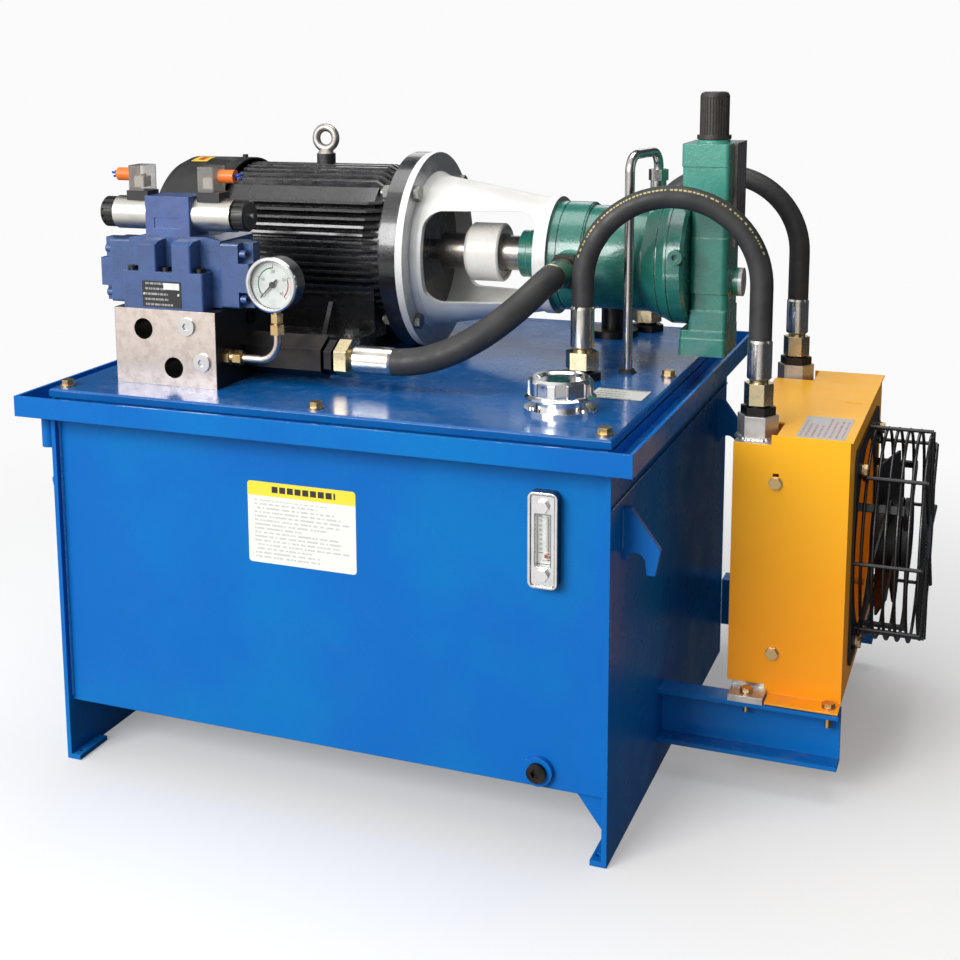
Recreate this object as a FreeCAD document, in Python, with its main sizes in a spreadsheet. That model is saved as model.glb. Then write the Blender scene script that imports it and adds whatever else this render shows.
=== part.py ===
"""Hydraulic power unit: a welded reservoir with a motor and pump, a valve stack and an air-blast cooler.

Frame: +X to the right along the front, +Y towards the back, +Z up, in millimetres. The origin is the centre
of the reservoir's footprint, on the floor. The sizes are cells of the sheet Dim, which the sub-parts follow.
"""
import FreeCAD, Part
import os
import re

import Sketcher
from FreeCAD import Placement, Rotation, Vector

DIMENSIONS = {
    # Welded reservoir.
    "tank_width": 700, "tank_depth": 640, "tank_plate": 6, "tank_floor": 76, "front_inset": 10,
    "rim_top": 467, "rim_width": 42, "foot_width": 13, "foot_length": 60, "foot_hole_x": 337.5,
    "foot_hole_y": 306, "foot_hole_radius": 3.3, "gusset_width": 34, "gusset_y": 304, "gusset_foot": 30,
    "baffle_x": 60, "baffle_top": 380, "baffle_gap": 60, "hook_y": 263, "hook_plate": 8, "hook_low": 334,
    "hook_high": 393, "hook_reach": 41, "hook_notch_radius": 11, "hook_notch_x": 14, "hook_shoulder": 8.5,
    "hook_nose": 14.5, "drain_x": 270, "drain_z": 96, "drain_boss_radius": 17, "drain_boss_length": 7,
    "drain_plug_radius": 11, "drain_thread_radius": 8,
    # Drip gutter, gasket and cover.
    "gutter_reach": 30, "gutter_floor": 450, "gutter_lip": 475, "gutter_sheet": 4, "spout_radius": 9,
    "spout_bottom": 405, "cover_top": 480, "cover_thickness": 10, "cover_bevel": 2, "gasket_overlap": 2,
    "cover_bolt_x": 337, "cover_bolt_y": 298, "cover_bolt_radius": 5, "cover_bolt_hole": 5.5,
    # Level gauge.
    "level_x": 277, "level_z": 364, "level_height": 107, "level_width": 33, "level_depth": 14,
    "level_recess": 1.2, "level_spacing": 76, "level_window": 17, "level_window_height": 58,
    "level_bolt_radius": 5,
    # Filler breather.
    "filler_x": 262, "filler_y": -210, "filler_flange_radius": 41, "filler_flange": 4, "neck_radius": 28.5,
    "neck_bore": 25.05, "neck_top": 499, "neck_screw_circle": 34.5, "neck_screw_radius": 3,
    "cap_radius": 36.7, "cap_low": 495, "cap_top": 518.5, "cap_rim_radius": 40.5, "cap_scallops": 10,
    "basket_radius": 25, "basket_bottom": 330,
    # Motor, on the drive axis.
    "drive_y": 88, "drive_z": 612, "terminal_x": -155, "terminal_y": 236, "terminal_z": 633,
    "motor_rear": -275, "motor_front": -31, "motor_core": 99, "motor_bore": 85, "fin_tip": 114,
    "fin_plate": 3.5, "fin_pitch": 10, "fin_end": -45, "fin_root": 104, "band_half": 14, "band_reach": 109,
    "motor_flange_radius": 131.5, "motor_flange_face": -9, "flange_bolt_circle": 118.5,
    "foot_bolt_front_x": -73, "foot_bolt_rear_x": -213, "foot_bolt_offset": 125, "riser_top": 503,
    "foot_top": 512, "bearing_radius": 31, "journal_radius": 15, "shaft_radius": 14, "rotor_radius": 55,
    "cowl_radius": 120, "cowl_rear": -392, "cowl_front": -280, "cowl_sheet": 2.5, "eye_x": -165,
    "eye_z": 760.5, "eye_radius": 14.5, "eye_wire": 5.5,
    # Bell housing and coupling.
    "bell_flange": 1, "bell_end": 174, "bell_ring_radius": 77, "bell_ring_start": 160, "bell_bore": 50,
    "window_low": 553, "window_high": 673, "window_start": 14, "window_end": 156, "window_corner": 22,
    "hub_radius": 25, "sleeve_radius": 39, "sleeve_start": 49, "sleeve_end": 97, "nose_radius": 32,
    "nose_start": 123, "pump_hub_radius": 23, "pump_shaft_radius": 12,
    # Pump.
    "pump_radius": 71, "drum_radius": 67, "flare_radius": 80, "pump_end": 349, "cavity_start": 232,
    "cavity_end": 343, "barrel_end": 296, "swash_start": 319.5, "side_port_x": 341, "side_port_z": 627,
    "side_port_face": 1, "suction_face": 173, "head_start": 338, "pump_cavity": 58, "port_x": 206,
    "port_z": 605, "port_radius": 22.5, "port_face": 13, "head_end": 396, "head_y": 43, "head_low": 498,
    "head_high": 762, "adjuster_x": 369, "adjuster_radius": 18, "adjuster_low": 766, "adjuster_high": 824,
    "stem_radius": 6, "drain_tube_x": 284, "drain_tube_y": 5, "drain_tube_top": 750, "drain_far_x": 300,
    "drain_tube_radius": 6, "drain_tube_bend": 20, "drain_port_z": 700, "suction_y": 235, "suction_z": 600,
    "suction_radius": 17, "suction_bend": 45,
    # Manifold, valves and gauge.
    "block_left": -293, "block_right": -151, "block_front": -257, "block_back": -110, "block_top": 574,
    "work_port_radius": 13, "work_port_depth": 45, "port_a_x": -252, "port_a_z": 549, "port_b_x": -211,
    "port_b_z": 503, "plug_radius": 11, "plug_thread": 8, "check_y": -170, "check_z": 511,
    "gauge_port_y": -235, "gauge_port_z": 517, "valve_left": -283, "valve_right": -155, "step_left": -279,
    "step_right": -167, "valve_step": 620, "valve_top": 661, "valve_back": -150, "spool_z": 622,
    "spool_y": -205, "spool_radius": 14, "end_cap_left": -325, "end_cap_right": -117.5,
    "end_cap_front": -233, "end_cap_back": -190, "end_cap_bottom": 576, "end_cap_notch": 14,
    "end_cap_top": 655, "pilot_left": -259, "pilot_right": -196, "pilot_y": -210, "pilot_z": 686,
    "pilot_half": 23, "pilot_top": 709, "solenoid_radius": 20.5, "solenoid_left": -308,
    "solenoid_right": -144, "nut_left": -327, "nut_right": -125, "solenoid_nut_radius": 19, "pin_radius": 3,
    "plug_base_z": 702, "plug_housing_z": 714, "plug_top_z": 745, "gland_z": 733, "gauge_x": -80,
    "gauge_z": 610, "gauge_face_y": -250, "gauge_back_y": -220, "gauge_radius": 33, "gauge_tube_radius": 5,
    "gauge_tube_bend": 24,
    # Pressure and cooler lines.
    "check_hex": 46, "check_start": -151, "check_end": -44, "hose_radius": 16.5, "ferrule_radius": 17.5,
    "cooler_hose_radius": 13.5, "cooler_ferrule_radius": 14.5, "base_x": 241.5, "cooler_port_x": 450,
    "loop_top": 705, "front_base_y": -50, "front_port_y": -22, "rear_base_y": 285, "rear_port_y": 283,
    # Air-blast cooler and its beams.
    "beam_top": 110, "beam_height": 68, "beam_flange": 32, "beam_sheet": 5, "beam_start": 350,
    "beam_end": 562, "beam_web_y": -55, "rear_beam_web_y": 321, "core_left": 428, "core_right": 472,
    "core_top": 420, "lug_left": 434, "lug_reach": 30, "lug_sheet": 8, "lug_bolt_x": 454, "lip_bolt_x": 549,
    "upper_bolt_z": 375, "lower_bolt_z": 165, "shroud_right": 561, "shroud_front": -57, "shroud_back": 318,
    "shroud_top": 432, "shroud_bottom": 112, "shroud_sheet": 2, "fan_y": 130, "fan_z": 270,
    "fan_opening": 118, "guard_bolt": 108, "guard_foot": 3.5, "fan_sheet": 3, "fan_plate": 135,
    "guard_radius": 132, "guard_reach": 640, "guard_wire": 2,
}

TURN = {"x": Rotation(Vector(0, 1, 0), 90), "y": Rotation(Vector(1, 0, 0), -90), "z": Rotation()}
HEX_CORNER = "0.57735"      # a hexagon's corner radius over its distance across flats

doc = FreeCAD.newDocument("hydraulic_power_unit")
sheet = doc.addObject("Spreadsheet::Sheet", "Dim")
for row, (alias, number) in enumerate(DIMENSIONS.items(), start=1):
    sheet.set(f"A{row}", alias.replace("_", " "))
    sheet.set(f"B{row}", str(number))
    sheet.setAlias(f"B{row}", alias)
doc.recompute()


# ---- expressions -------------------------------------------------------------------------------------------

def bound(text):
    """An expression in which each alias is written with its sheet's name."""
    return re.sub(r"[a-z]\w*(?!\w*\()", r"Dim.\g<0>", str(text))


def value(text):
    """The number that an expression has now."""
    return float(sheet.evalExpression(str(text)))


def mirrored(sign, low, high):
    """A span of coordinates, or its mirror image when sign is negative."""
    return (low, high) if sign > 0 else (f"-({high})", f"-({low})")


def about(centre, half):
    """A span that reaches half to each side of a centre."""
    return (f"{centre} - ({half})", f"{centre} + ({half})")


# ---- primitives and booleans -------------------------------------------------------------------------------

def block(x, y, z):
    """A box between two expressions on each axis."""
    solid = doc.addObject("Part::Box", "block")
    for side, letter, (low, high) in zip(("Length", "Width", "Height"), "xyz", (x, y, z)):
        solid.setExpression(side, bound(f"({high}) - ({low})"))
        solid.setExpression(f".Placement.Base.{letter}", bound(low))
    return solid


def seat(solid, axis, centre, start):
    """Turns a solid's own Z to an axis, and starts it there with its centre on the two other coordinates."""
    solid.Placement = Placement(Vector(), TURN[axis])
    others = [letter for letter in "xyz" if letter != axis]
    for letter, text in zip([axis] + others, [start, *centre]):
        solid.setExpression(f".Placement.Base.{letter}", bound(text))
    return solid


def rod(axis, centre, span, radius):
    """A cylinder along an axis."""
    solid = doc.addObject("Part::Cylinder", "rod")
    solid.setExpression("Radius", bound(radius))
    solid.setExpression("Height", bound(f"({span[1]}) - ({span[0]})"))
    return seat(solid, axis, centre, span[0])


def cone(axis, centre, span, radii):
    """A cone's frustum along an axis."""
    solid = doc.addObject("Part::Cone", "cone")
    solid.setExpression("Radius1", bound(radii[0]))
    solid.setExpression("Radius2", bound(radii[1]))
    solid.setExpression("Height", bound(f"({span[1]}) - ({span[0]})"))
    return seat(solid, axis, centre, span[0])


def hexagon(axis, centre, span, across_flats):
    """A hexagonal bar along an axis."""
    solid = doc.addObject("Part::Prism", "hexagon")
    solid.Polygon = 6
    solid.setExpression("Circumradius", bound(f"({across_flats}) * {HEX_CORNER}"))
    solid.setExpression("Height", bound(f"({span[1]}) - ({span[0]})"))
    return seat(solid, axis, centre, span[0])


def ring(axis, centre, along, ring_radius, wire_radius):
    """A torus about an axis."""
    solid = doc.addObject("Part::Torus", "ring")
    solid.setExpression("Radius1", bound(ring_radius))
    solid.setExpression("Radius2", bound(wire_radius))
    return seat(solid, axis, centre, along)


def elbow(corner, arriving, leaving, bend, radius, turn=90):
    """A bent tube that arrives at a corner in one direction and leaves it in another."""
    solid = doc.addObject("Part::Torus", "elbow")
    solid.setExpression("Radius1", bound(bend))
    solid.setExpression("Radius2", bound(radius))
    solid.Angle3 = turn
    normal = (leaving * -1).cross(arriving)
    solid.Placement = Placement(Vector(), Rotation(leaving * -1, arriving, normal, "XYZ"))
    shift = leaving - arriving
    for letter, text, step in zip("xyz", corner, shift):
        solid.setExpression(f".Placement.Base.{letter}", bound(f"({text}) + {step:.0f} * ({bend})"))
    return solid


def fuse(*solids):
    """One solid of several that meet."""
    joined = doc.addObject("Part::MultiFuse", "fuse")
    joined.Shapes = list(solids)
    joined.Refine = True
    return joined


def cut(base, *tools):
    """A solid less one or more tools."""
    rest = doc.addObject("Part::Cut", "cut")
    rest.Base = base
    rest.Tool = tools[0] if len(tools) == 1 else gather(*tools)
    rest.Refine = True
    return rest


def common(base, tool):
    """The part that two solids share."""
    shared = doc.addObject("Part::Common", "common")
    shared.Base = base
    shared.Tool = tool
    return shared


def gather(*solids):
    """A group of separate solids."""
    group = doc.addObject("Part::Compound", "group")
    group.Links = list(solids)
    return group


def pipe(axis, centre, span, outer, bore):
    """A straight tube."""
    reach = (f"({span[0]}) - 1", f"({span[1]}) + 1")
    return cut(rod(axis, centre, span, outer), rod(axis, centre, reach, bore))


def copies(master, places):
    """Links to one solid, each with its own Z turned to a direction at a point."""
    links = []
    for direction, point in places:
        link = doc.addObject("App::Link", "copy")
        link.LinkedObject = master
        link.LinkTransform = True
        link.Placement = Placement(Vector(), Rotation(Vector(0, 0, 1), direction))
        for letter, text in zip("xyz", point):
            link.setExpression(f".Placement.Base.{letter}", bound(text))
        links.append(link)
    return links


def around_x(master, centre, count, first=0):
    """Links to a solid that is made about the X axis, spread evenly around a centre."""
    links = []
    for number in range(count):
        link = doc.addObject("App::Link", "copy")
        link.LinkedObject = master
        link.LinkTransform = True
        turn = Rotation(Vector(1, 0, 0), first + number * 360 / count)
        link.Placement = Placement(Vector(), turn)
        for letter, text in zip("yz", centre):
            link.setExpression(f".Placement.Base.{letter}", bound(text))
        links.append(link)
    return links


# ---- sketched bodies ---------------------------------------------------------------------------------------

def origin(body, role):
    """A plane or axis of a body's own origin."""
    return next(part for part in body.Origin.OriginFeatures if part.Role == role)


def outline_sketch(body, plane, points, offset="0"):
    """A closed outline on a plane of the body. Each corner's two coordinates follow their expressions."""
    sketch = body.newObject("Sketcher::SketchObject", "outline")
    sketch.AttachmentSupport = [(origin(body, plane + "_Plane"), "")]
    sketch.MapMode = "FlatFace"
    sketch.setExpression(".AttachmentOffset.Base.z", bound(offset))
    corners = [Vector(value(along), value(up), 0) for along, up in points]
    count = len(corners)
    for index in range(count):
        sketch.addGeometry(Part.LineSegment(corners[index], corners[(index + 1) % count]), False)
    for index in range(count):
        sketch.addConstraint(Sketcher.Constraint("Coincident", index, 2, (index + 1) % count, 1))
    for index, (corner, texts) in enumerate(zip(corners, points)):
        for kind, size, text in zip(("DistanceX", "DistanceY"), corner, texts):
            number = sketch.addConstraint(Sketcher.Constraint(kind, -1, 1, index, 1, size))
            sketch.setExpression(f"Constraints[{number}]", bound(text))
    return sketch


def plate(plane, points, span):
    """A body padded from an outline. The outline lies in XY, XZ or YZ, and the span is across it."""
    body = doc.addObject("PartDesign::Body", "plate")
    offset = f"-({span[1]})" if plane == "XZ" else span[0]
    pad = body.newObject("PartDesign::Pad", "Pad")
    pad.Profile = outline_sketch(body, plane, points, offset)
    pad.setExpression("Length", bound(f"({span[1]}) - ({span[0]})"))
    return body


def rectangle(across, up):
    """The four corners of a rectangle."""
    return [(across[0], up[0]), (across[1], up[0]), (across[1], up[1]), (across[0], up[1])]


def turned(axis, centre, profile):
    """A body of revolution. The profile's corners are pairs of position along the axis and radius."""
    body = doc.addObject("PartDesign::Body", "turned")
    plane = "XY" if axis == "y" else "XZ"
    points = profile if axis == "x" else [(radius, along) for along, radius in profile]
    sketch = outline_sketch(body, plane, points)
    revolution = body.newObject("PartDesign::Revolution", "Revolution")
    revolution.Profile = sketch
    revolution.ReferenceAxis = (sketch, ["H_Axis" if axis == "x" else "V_Axis"])
    revolution.Angle = 360
    others = [letter for letter in "xyz" if letter != axis]
    for letter, text in zip(others, centre):
        body.setExpression(f".Placement.Base.{letter}", bound(text))
    return body


def soften(body, radius, choose, kind="Fillet"):
    """Rounds or bevels the edges of a body that a test picks."""
    doc.recompute()
    base = body.Tip
    names = [f"Edge{number}" for number, edge in enumerate(base.Shape.Edges, start=1) if choose(edge)]
    feature = body.newObject("PartDesign::" + kind, kind)
    feature.Base = (base, names)
    feature.setExpression("Radius" if kind == "Fillet" else "Size", bound(radius))
    return body


def parallel(axis):
    """A test for straight edges along an axis."""
    direction = {"x": Vector(1, 0, 0), "y": Vector(0, 1, 0), "z": Vector(0, 0, 1)}[axis]

    def test(edge):
        straight = isinstance(edge.Curve, Part.Line)
        return straight and abs(edge.tangentAt(edge.FirstParameter).dot(direction)) > 0.999
    return test


def at_height(text):
    """A test for edges that lie level at a height."""
    height = value(text)

    def test(edge):
        box = edge.BoundBox
        return abs(box.ZMin - height) < 0.01 and abs(box.ZMax - height) < 0.01
    return test


def repeat_round(body, feature, axis, count):
    """Repeats a body's last feature around one of its axes."""
    pattern = body.newObject("PartDesign::PolarPattern", "PolarPattern")
    pattern.Originals = [feature]
    pattern.Axis = (origin(body, axis + "_Axis"), [""])
    pattern.Angle = 360
    pattern.setExpression("Occurrences", bound(count))
    body.Tip = pattern
    return body


# ---- fasteners ---------------------------------------------------------------------------------------------

UP, DOWN = Vector(0, 0, 1), Vector(0, 0, -1)
LEFT, RIGHT = Vector(-1, 0, 0), Vector(1, 0, 0)
FORWARD, BACK = Vector(0, -1, 0), Vector(0, 1, 0)


def hex_bolt(flats, head, shank_radius, shank_length, washer="0"):
    """A hexagon bolt whose head stands on the XY plane, its shank below."""
    parts = [hexagon("z", ("0", "0"), ("0", head), flats)]
    parts.append(rod("z", ("0", "0"), (f"-({shank_length})", "0"), shank_radius))
    if washer != "0":
        parts.append(rod("z", ("0", "0"), ("0", "2"), washer))
    return fuse(*parts)


def socket_screw(head_radius, head, shank_radius, shank_length, key):
    """A socket-head screw or plug whose head stands on the XY plane, its shank below."""
    screw = fuse(rod("z", ("0", "0"), ("0", head), head_radius),
                 rod("z", ("0", "0"), (f"-({shank_length})", "0"), shank_radius))
    return cut(screw, hexagon("z", ("0", "0"), (f"({head}) * 0.3", f"({head}) + 1"), key))


# ---- reservoir ---------------------------------------------------------------------------------------------

INNER_X = ("-tank_width / 2 + tank_plate", "tank_width / 2 - tank_plate")
INNER_Y = ("-tank_depth / 2 + front_inset + tank_plate", "tank_depth / 2 - front_inset - tank_plate")
COVER_BOLTS = [(x, y) for x in (-1, 0, 1) for y in (-1, 0, 1) if x or y]


def lifting_hook(side, end):
    """A hook plate welded to a side, with a round notch for the sling."""
    wall = "tank_width / 2"
    corners = [("0", "hook_low"), ("0", "hook_high"), ("hook_shoulder", "hook_high"),
               ("hook_reach", "hook_low + hook_nose"), ("hook_reach - 5.5", "hook_low - hook_nose"),
               ("hook_reach - 14.5", "hook_low - hook_nose"), ("hook_reach - 16", "hook_low - 4")]
    sign = "" if side > 0 else "-"
    outline = [(f"{sign}({wall} + {across})", up) for across, up in corners]
    y = mirrored(end, "hook_y - hook_plate / 2", "hook_y + hook_plate / 2")
    notch = rod("y", (f"{sign}({wall} + hook_notch_x)", "hook_low - 2"), y, "hook_notch_radius")
    return cut(plate("XZ", outline, y), notch)


def leg_gusset(end):
    """A gusset from the leg on the cooler's side to the tank's bottom."""
    leg = "tank_width / 2 - tank_plate"
    outline = [(leg, "tank_floor"), (leg, "gusset_foot"), (f"{leg} - gusset_width", "tank_floor")]
    return plate("XZ", outline, mirrored(end, "gusset_y - tank_plate", "gusset_y"))


def tank_shell():
    """Side plates down to the floor, end plates, bottom, rim, feet, gussets, baffle, hooks and drain boss."""
    depth = ("-tank_depth / 2", "tank_depth / 2")
    parts = [block(INNER_X, INNER_Y, ("tank_floor", "tank_floor + tank_plate"))]
    parts.append(block(("-baffle_x - tank_plate", "-baffle_x"), INNER_Y,
                       ("tank_floor + baffle_gap", "baffle_top")))
    for sign in (1, -1):
        wall = mirrored(sign, "tank_width / 2 - tank_plate", "tank_width / 2")
        parts.append(block(wall, depth, ("0", "rim_top")))
        foot = mirrored(sign, "tank_width / 2 - tank_plate - foot_width", "tank_width / 2 - tank_plate")
        for end_sign in (1, -1):
            foot_y = mirrored(end_sign, "tank_depth / 2 - foot_length", "tank_depth / 2")
            parts.append(block(foot, foot_y, ("0", "tank_plate")))
            parts.append(lifting_hook(sign, end_sign))
        end = mirrored(sign, "tank_depth / 2 - front_inset - tank_plate", "tank_depth / 2 - front_inset")
        parts.append(block(INNER_X, end, ("tank_floor", "rim_top")))
        rim = mirrored(sign, "tank_width / 2 - rim_width", "tank_width / 2 - tank_plate")
        parts.append(block(rim, INNER_Y, ("rim_top - tank_plate", "rim_top")))
        rim = mirrored(sign, "tank_depth / 2 - rim_width", "tank_depth / 2 - front_inset")
        parts.append(block(INNER_X, rim, ("rim_top - tank_plate", "rim_top")))
        parts.append(leg_gusset(sign))
    front = "-tank_depth / 2 + front_inset"
    drain = ("drain_x", "drain_z")
    parts.append(rod("y", drain, (f"{front} - drain_boss_length", f"{front} + tank_plate"),
                     "drain_boss_radius"))
    holes = [rod("y", drain, (f"{front} - 20", f"{front} + 20"), "drain_thread_radius + 0.05")]
    for x in (-1, 1):
        for y in (-1, 1):
            holes.append(rod("z", (f"{x} * foot_hole_x", f"{y} * foot_hole_y"), ("-1", "tank_plate + 1"),
                             "foot_hole_radius"))
    for x, y in COVER_BOLTS:
        holes.append(rod("z", (f"{x} * cover_bolt_x", f"{y} * cover_bolt_y"),
                         ("rim_top - tank_plate - 1", "rim_top + 1"), "cover_bolt_radius + 0.05"))
    for end in (-1, 1):
        holes.append(rod("y", ("level_x", f"level_z + {end} * level_spacing / 2"),
                         (f"{front} - 1", f"{front} + tank_plate + 1"), "level_bolt_radius + 0.05"))
    holes.append(rod("z", ("base_x", "rear_base_y"), ("rim_top - 20", "rim_top + 1"), "12.5"))
    return cut(fuse(*parts), *holes)


def drain_plug():
    """Hexagon-socket screw plug in the drain boss."""
    master = socket_screw("drain_plug_radius", "6", "drain_thread_radius", "14", "10")
    face = "-tank_depth / 2 + front_inset - drain_boss_length"
    return gather(*copies(master, [(FORWARD, ("drain_x", face, "drain_z"))]))


def drip_gutter():
    """Open channel around the top of the tank that catches spilt oil, with a drain spout."""
    half_x, half_y = "tank_width / 2", "tank_depth / 2"
    outer = block(about("0", f"{half_x} + gutter_reach"), about("0", f"{half_y} + gutter_reach"),
                  ("gutter_floor", "gutter_lip"))
    pocket = block(about("0", f"{half_x} + gutter_reach - gutter_sheet"),
                   about("0", f"{half_y} + gutter_reach - gutter_sheet"),
                   ("gutter_floor + gutter_sheet", "gutter_lip + 1"))
    opening = block(about("0", half_x), about("0", half_y), ("gutter_floor - 1", "gutter_lip"))
    spout_at = (f"-{half_x} - spout_radius - 1", f"-{half_y} + 10")
    spout = rod("z", spout_at, ("spout_bottom", "gutter_floor + 1"), "spout_radius")
    bore = rod("z", spout_at, ("spout_bottom - 1", "gutter_lip"), "spout_radius - 2")
    return cut(fuse(cut(outer, pocket, opening), spout), bore)


def rubber_seals():
    """Cover gasket, and the grommet where the case drain tube enters the cover."""
    z = ("rim_top", "cover_top - cover_thickness")
    sheet_rubber = block(about("0", "tank_width / 2 - gasket_overlap"),
                         about("0", "tank_depth / 2 - front_inset"), z)
    opening = block(about("0", "tank_width / 2 - rim_width"), about("0", "tank_depth / 2 - rim_width"),
                    ("rim_top - 1", "cover_top"))
    holes = [rod("z", (f"{x} * cover_bolt_x", f"{y} * cover_bolt_y"), ("rim_top - 1", "cover_top"),
                 "cover_bolt_hole") for x, y in COVER_BOLTS]
    holes.append(rod("z", ("base_x", "rear_base_y"), ("rim_top - 1", "cover_top"), "12.5"))
    profile = [("cover_top - cover_thickness", "drain_tube_radius + 0.1"), ("cover_top + 5",
               "drain_tube_radius + 0.1"), ("cover_top + 5", "drain_tube_radius + 2"),
               ("cover_top", "11.5"), ("cover_top", "9"), ("cover_top - cover_thickness", "9")]
    grommet = turned("z", ("drain_tube_x", "drain_tube_y"), profile)
    return gather(cut(sheet_rubber, opening, *holes), grommet)


def cover_plate():
    """Flat cover that carries the motor, pump and valves."""
    z = ("cover_top - cover_thickness", "cover_top")
    outline = rectangle(about("0", "tank_width / 2"), about("0", "tank_depth / 2"))
    body = soften(plate("XY", outline, z), "cover_bevel", at_height("cover_top"), "Chamfer")
    through = ("cover_top - cover_thickness - 1", "cover_top + 1")
    holes = [rod("z", (f"{x} * cover_bolt_x", f"{y} * cover_bolt_y"), through, "cover_bolt_hole")
             for x, y in COVER_BOLTS]
    holes.append(rod("z", ("filler_x", "filler_y"), through, "basket_radius + 0.5"))
    holes.append(rod("z", ("drain_tube_x", "drain_tube_y"), through, "9.05"))
    holes.append(rod("z", ("port_x", "suction_y"), through, "suction_radius + 1"))
    for base in LOOP_BASES:
        holes.append(rod("z", base, through, "12.05"))
    for x in ("foot_bolt_front_x", "foot_bolt_rear_x"):
        for side in (-1, 1):
            holes.append(rod("z", (x, f"drive_y + {side} * foot_bolt_offset"), through, "6.05"))
    return cut(body, *holes)


def hex_bolts():
    """Zinc-plated flanged bolts of the cover and of the cooler."""
    master = hex_bolt("14", "8", "cover_bolt_radius", "18", "9.5")
    places = [(UP, (f"{x} * cover_bolt_x", f"{y} * cover_bolt_y", "cover_top")) for x, y in COVER_BOLTS]
    small = hex_bolt("13", "6", "4", "24", "8")
    face = "shroud_front"
    bolts = [(FORWARD, ("core_right + 6", face, "upper_bolt_z")),
             (FORWARD, ("core_right + 8", face, "lower_bolt_z"))]
    for y in ("shroud_front - 15.5", "shroud_back + 15.5"):
        bolts.append((UP, ("lip_bolt_x", y, "shroud_bottom + shroud_sheet")))
        bolts.append((UP, ("lug_bolt_x", y, "beam_top + lug_sheet")))
    for side in (-1, 1):
        for end in (-1, 1):
            bolts.append((RIGHT, ("shroud_right + fan_sheet + guard_foot", f"fan_y + {side} * guard_bolt",
                                  f"fan_z + {end} * guard_bolt")))
    return gather(*copies(master, places), *copies(small, bolts))


def level_gauge_body():
    """Chromed frame of the oil level gauge, with its two hollow screws' seats."""
    back = "-tank_depth / 2 + front_inset"
    outline = rectangle(about("level_x", "level_width / 2"), about("level_z", "level_height / 2"))
    body = soften(plate("XZ", outline, (f"{back} - level_depth", back)), "7", parallel("y"))
    face = f"{back} - level_depth"
    outline = rectangle(about("level_x", "level_width / 2 - 3"), about("level_z", "level_height / 2 - 3"))
    panel = soften(plate("XZ", outline, (f"{face} - 1", f"{face} + level_recess")), "4.5", parallel("y"))
    recess = block(about("level_x", "level_window / 2"), (f"{back} - level_depth - 1", f"{back} - 3"),
                   about("level_z", "level_window_height / 2"))
    holes = [rod("y", ("level_x", f"level_z + {end} * level_spacing / 2"),
                 (f"{back} - level_depth - 1", f"{back} + 1"), "level_bolt_radius + 0.05")
             for end in (-1, 1)]
    return cut(body, panel, recess, *holes)


def level_gauge_lens():
    """Clear window of the level gauge, hollow for the oil column."""
    back = "-tank_depth / 2 + front_inset"
    lens = block(about("level_x", "level_window / 2 - 0.05"), (f"{back} - level_depth + 1", f"{back} - 3"),
                 about("level_z", "level_window_height / 2 - 0.05"))
    column = block(about("level_x", "4"), (f"{back} - level_depth + 6", f"{back} - 2"),
                   about("level_z", "level_window_height / 2 - 5"))
    return cut(lens, column)


# ---- filler breather ---------------------------------------------------------------------------------------

FILLER = ("filler_x", "filler_y")


def filler_neck():
    """Flanged neck of the filler, with its three screw heads around it."""
    profile = [("cover_top", "neck_bore"), ("cover_top", "filler_flange_radius"),
               ("cover_top + filler_flange", "filler_flange_radius"),
               ("cover_top + filler_flange", "neck_radius"), ("neck_top", "neck_radius"),
               ("neck_top", "neck_bore")]
    heads = []
    for degrees in (96, 216, 336):
        centre = (f"filler_x + neck_screw_circle * cos({degrees})",
                  f"filler_y + neck_screw_circle * sin({degrees})")
        heads.append(rod("z", centre, ("cover_top + 1", "cover_top + filler_flange + 2"), "neck_screw_radius"))
    return fuse(turned("z", FILLER, profile), *heads)


def filler_basket():
    """Strainer basket that hangs from the neck's top into the tank."""
    profile = [("basket_bottom", "0"), ("basket_bottom", "basket_radius"),
               ("neck_top", "basket_radius"), ("neck_top", "neck_radius - 0.5"),
               ("neck_top + 1", "neck_radius - 0.5"), ("neck_top + 1", "basket_radius - 1"),
               ("basket_bottom + 1", "basket_radius - 1"), ("basket_bottom + 1", "0")]
    return turned("z", FILLER, profile)


def filler_cap():
    """Vented cap: a rim, a skirt of concave facets and a dished top."""
    low, top, skirt, wall = "cap_low", "cap_top", "cap_radius", "cap_radius - 4"
    profile = [(low, wall), (low, "cap_rim_radius"), (f"{low} + 2", "cap_rim_radius"),
               (f"{low} + 4.5", skirt), (f"{top} - 4.5", skirt), (top, f"{skirt} - 4"),
               (top, f"{skirt} - 10"), (f"{top} - 2.5", f"{skirt} - 14"), (f"{top} - 2.5", "0"),
               (f"{top} - 5", "0"), (f"{top} - 5", wall)]
    body = turned("z", FILLER, profile)
    facet = body.newObject("PartDesign::Pocket", "Facet")
    facet.Profile = outline_sketch(body, "XY", [(f"{skirt} - 2.2", "-6"), (f"{skirt} + 2", "-10"),
                                                (f"{skirt} + 2", "10"), (f"{skirt} - 2.2", "6")],
                                   f"{top} - 1")
    facet.setExpression("Length", bound(f"{top} - 1 - ({low} + 4.5)"))
    return repeat_round(body, facet, "Z", "cap_scallops")


def breather_element():
    """Foam ring of the air breather, held inside the cap."""
    return pipe("z", FILLER, ("neck_top + 1.5", "cap_top - 5.5"), "neck_radius", "12")


# ---- suction line ------------------------------------------------------------------------------------------

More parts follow.
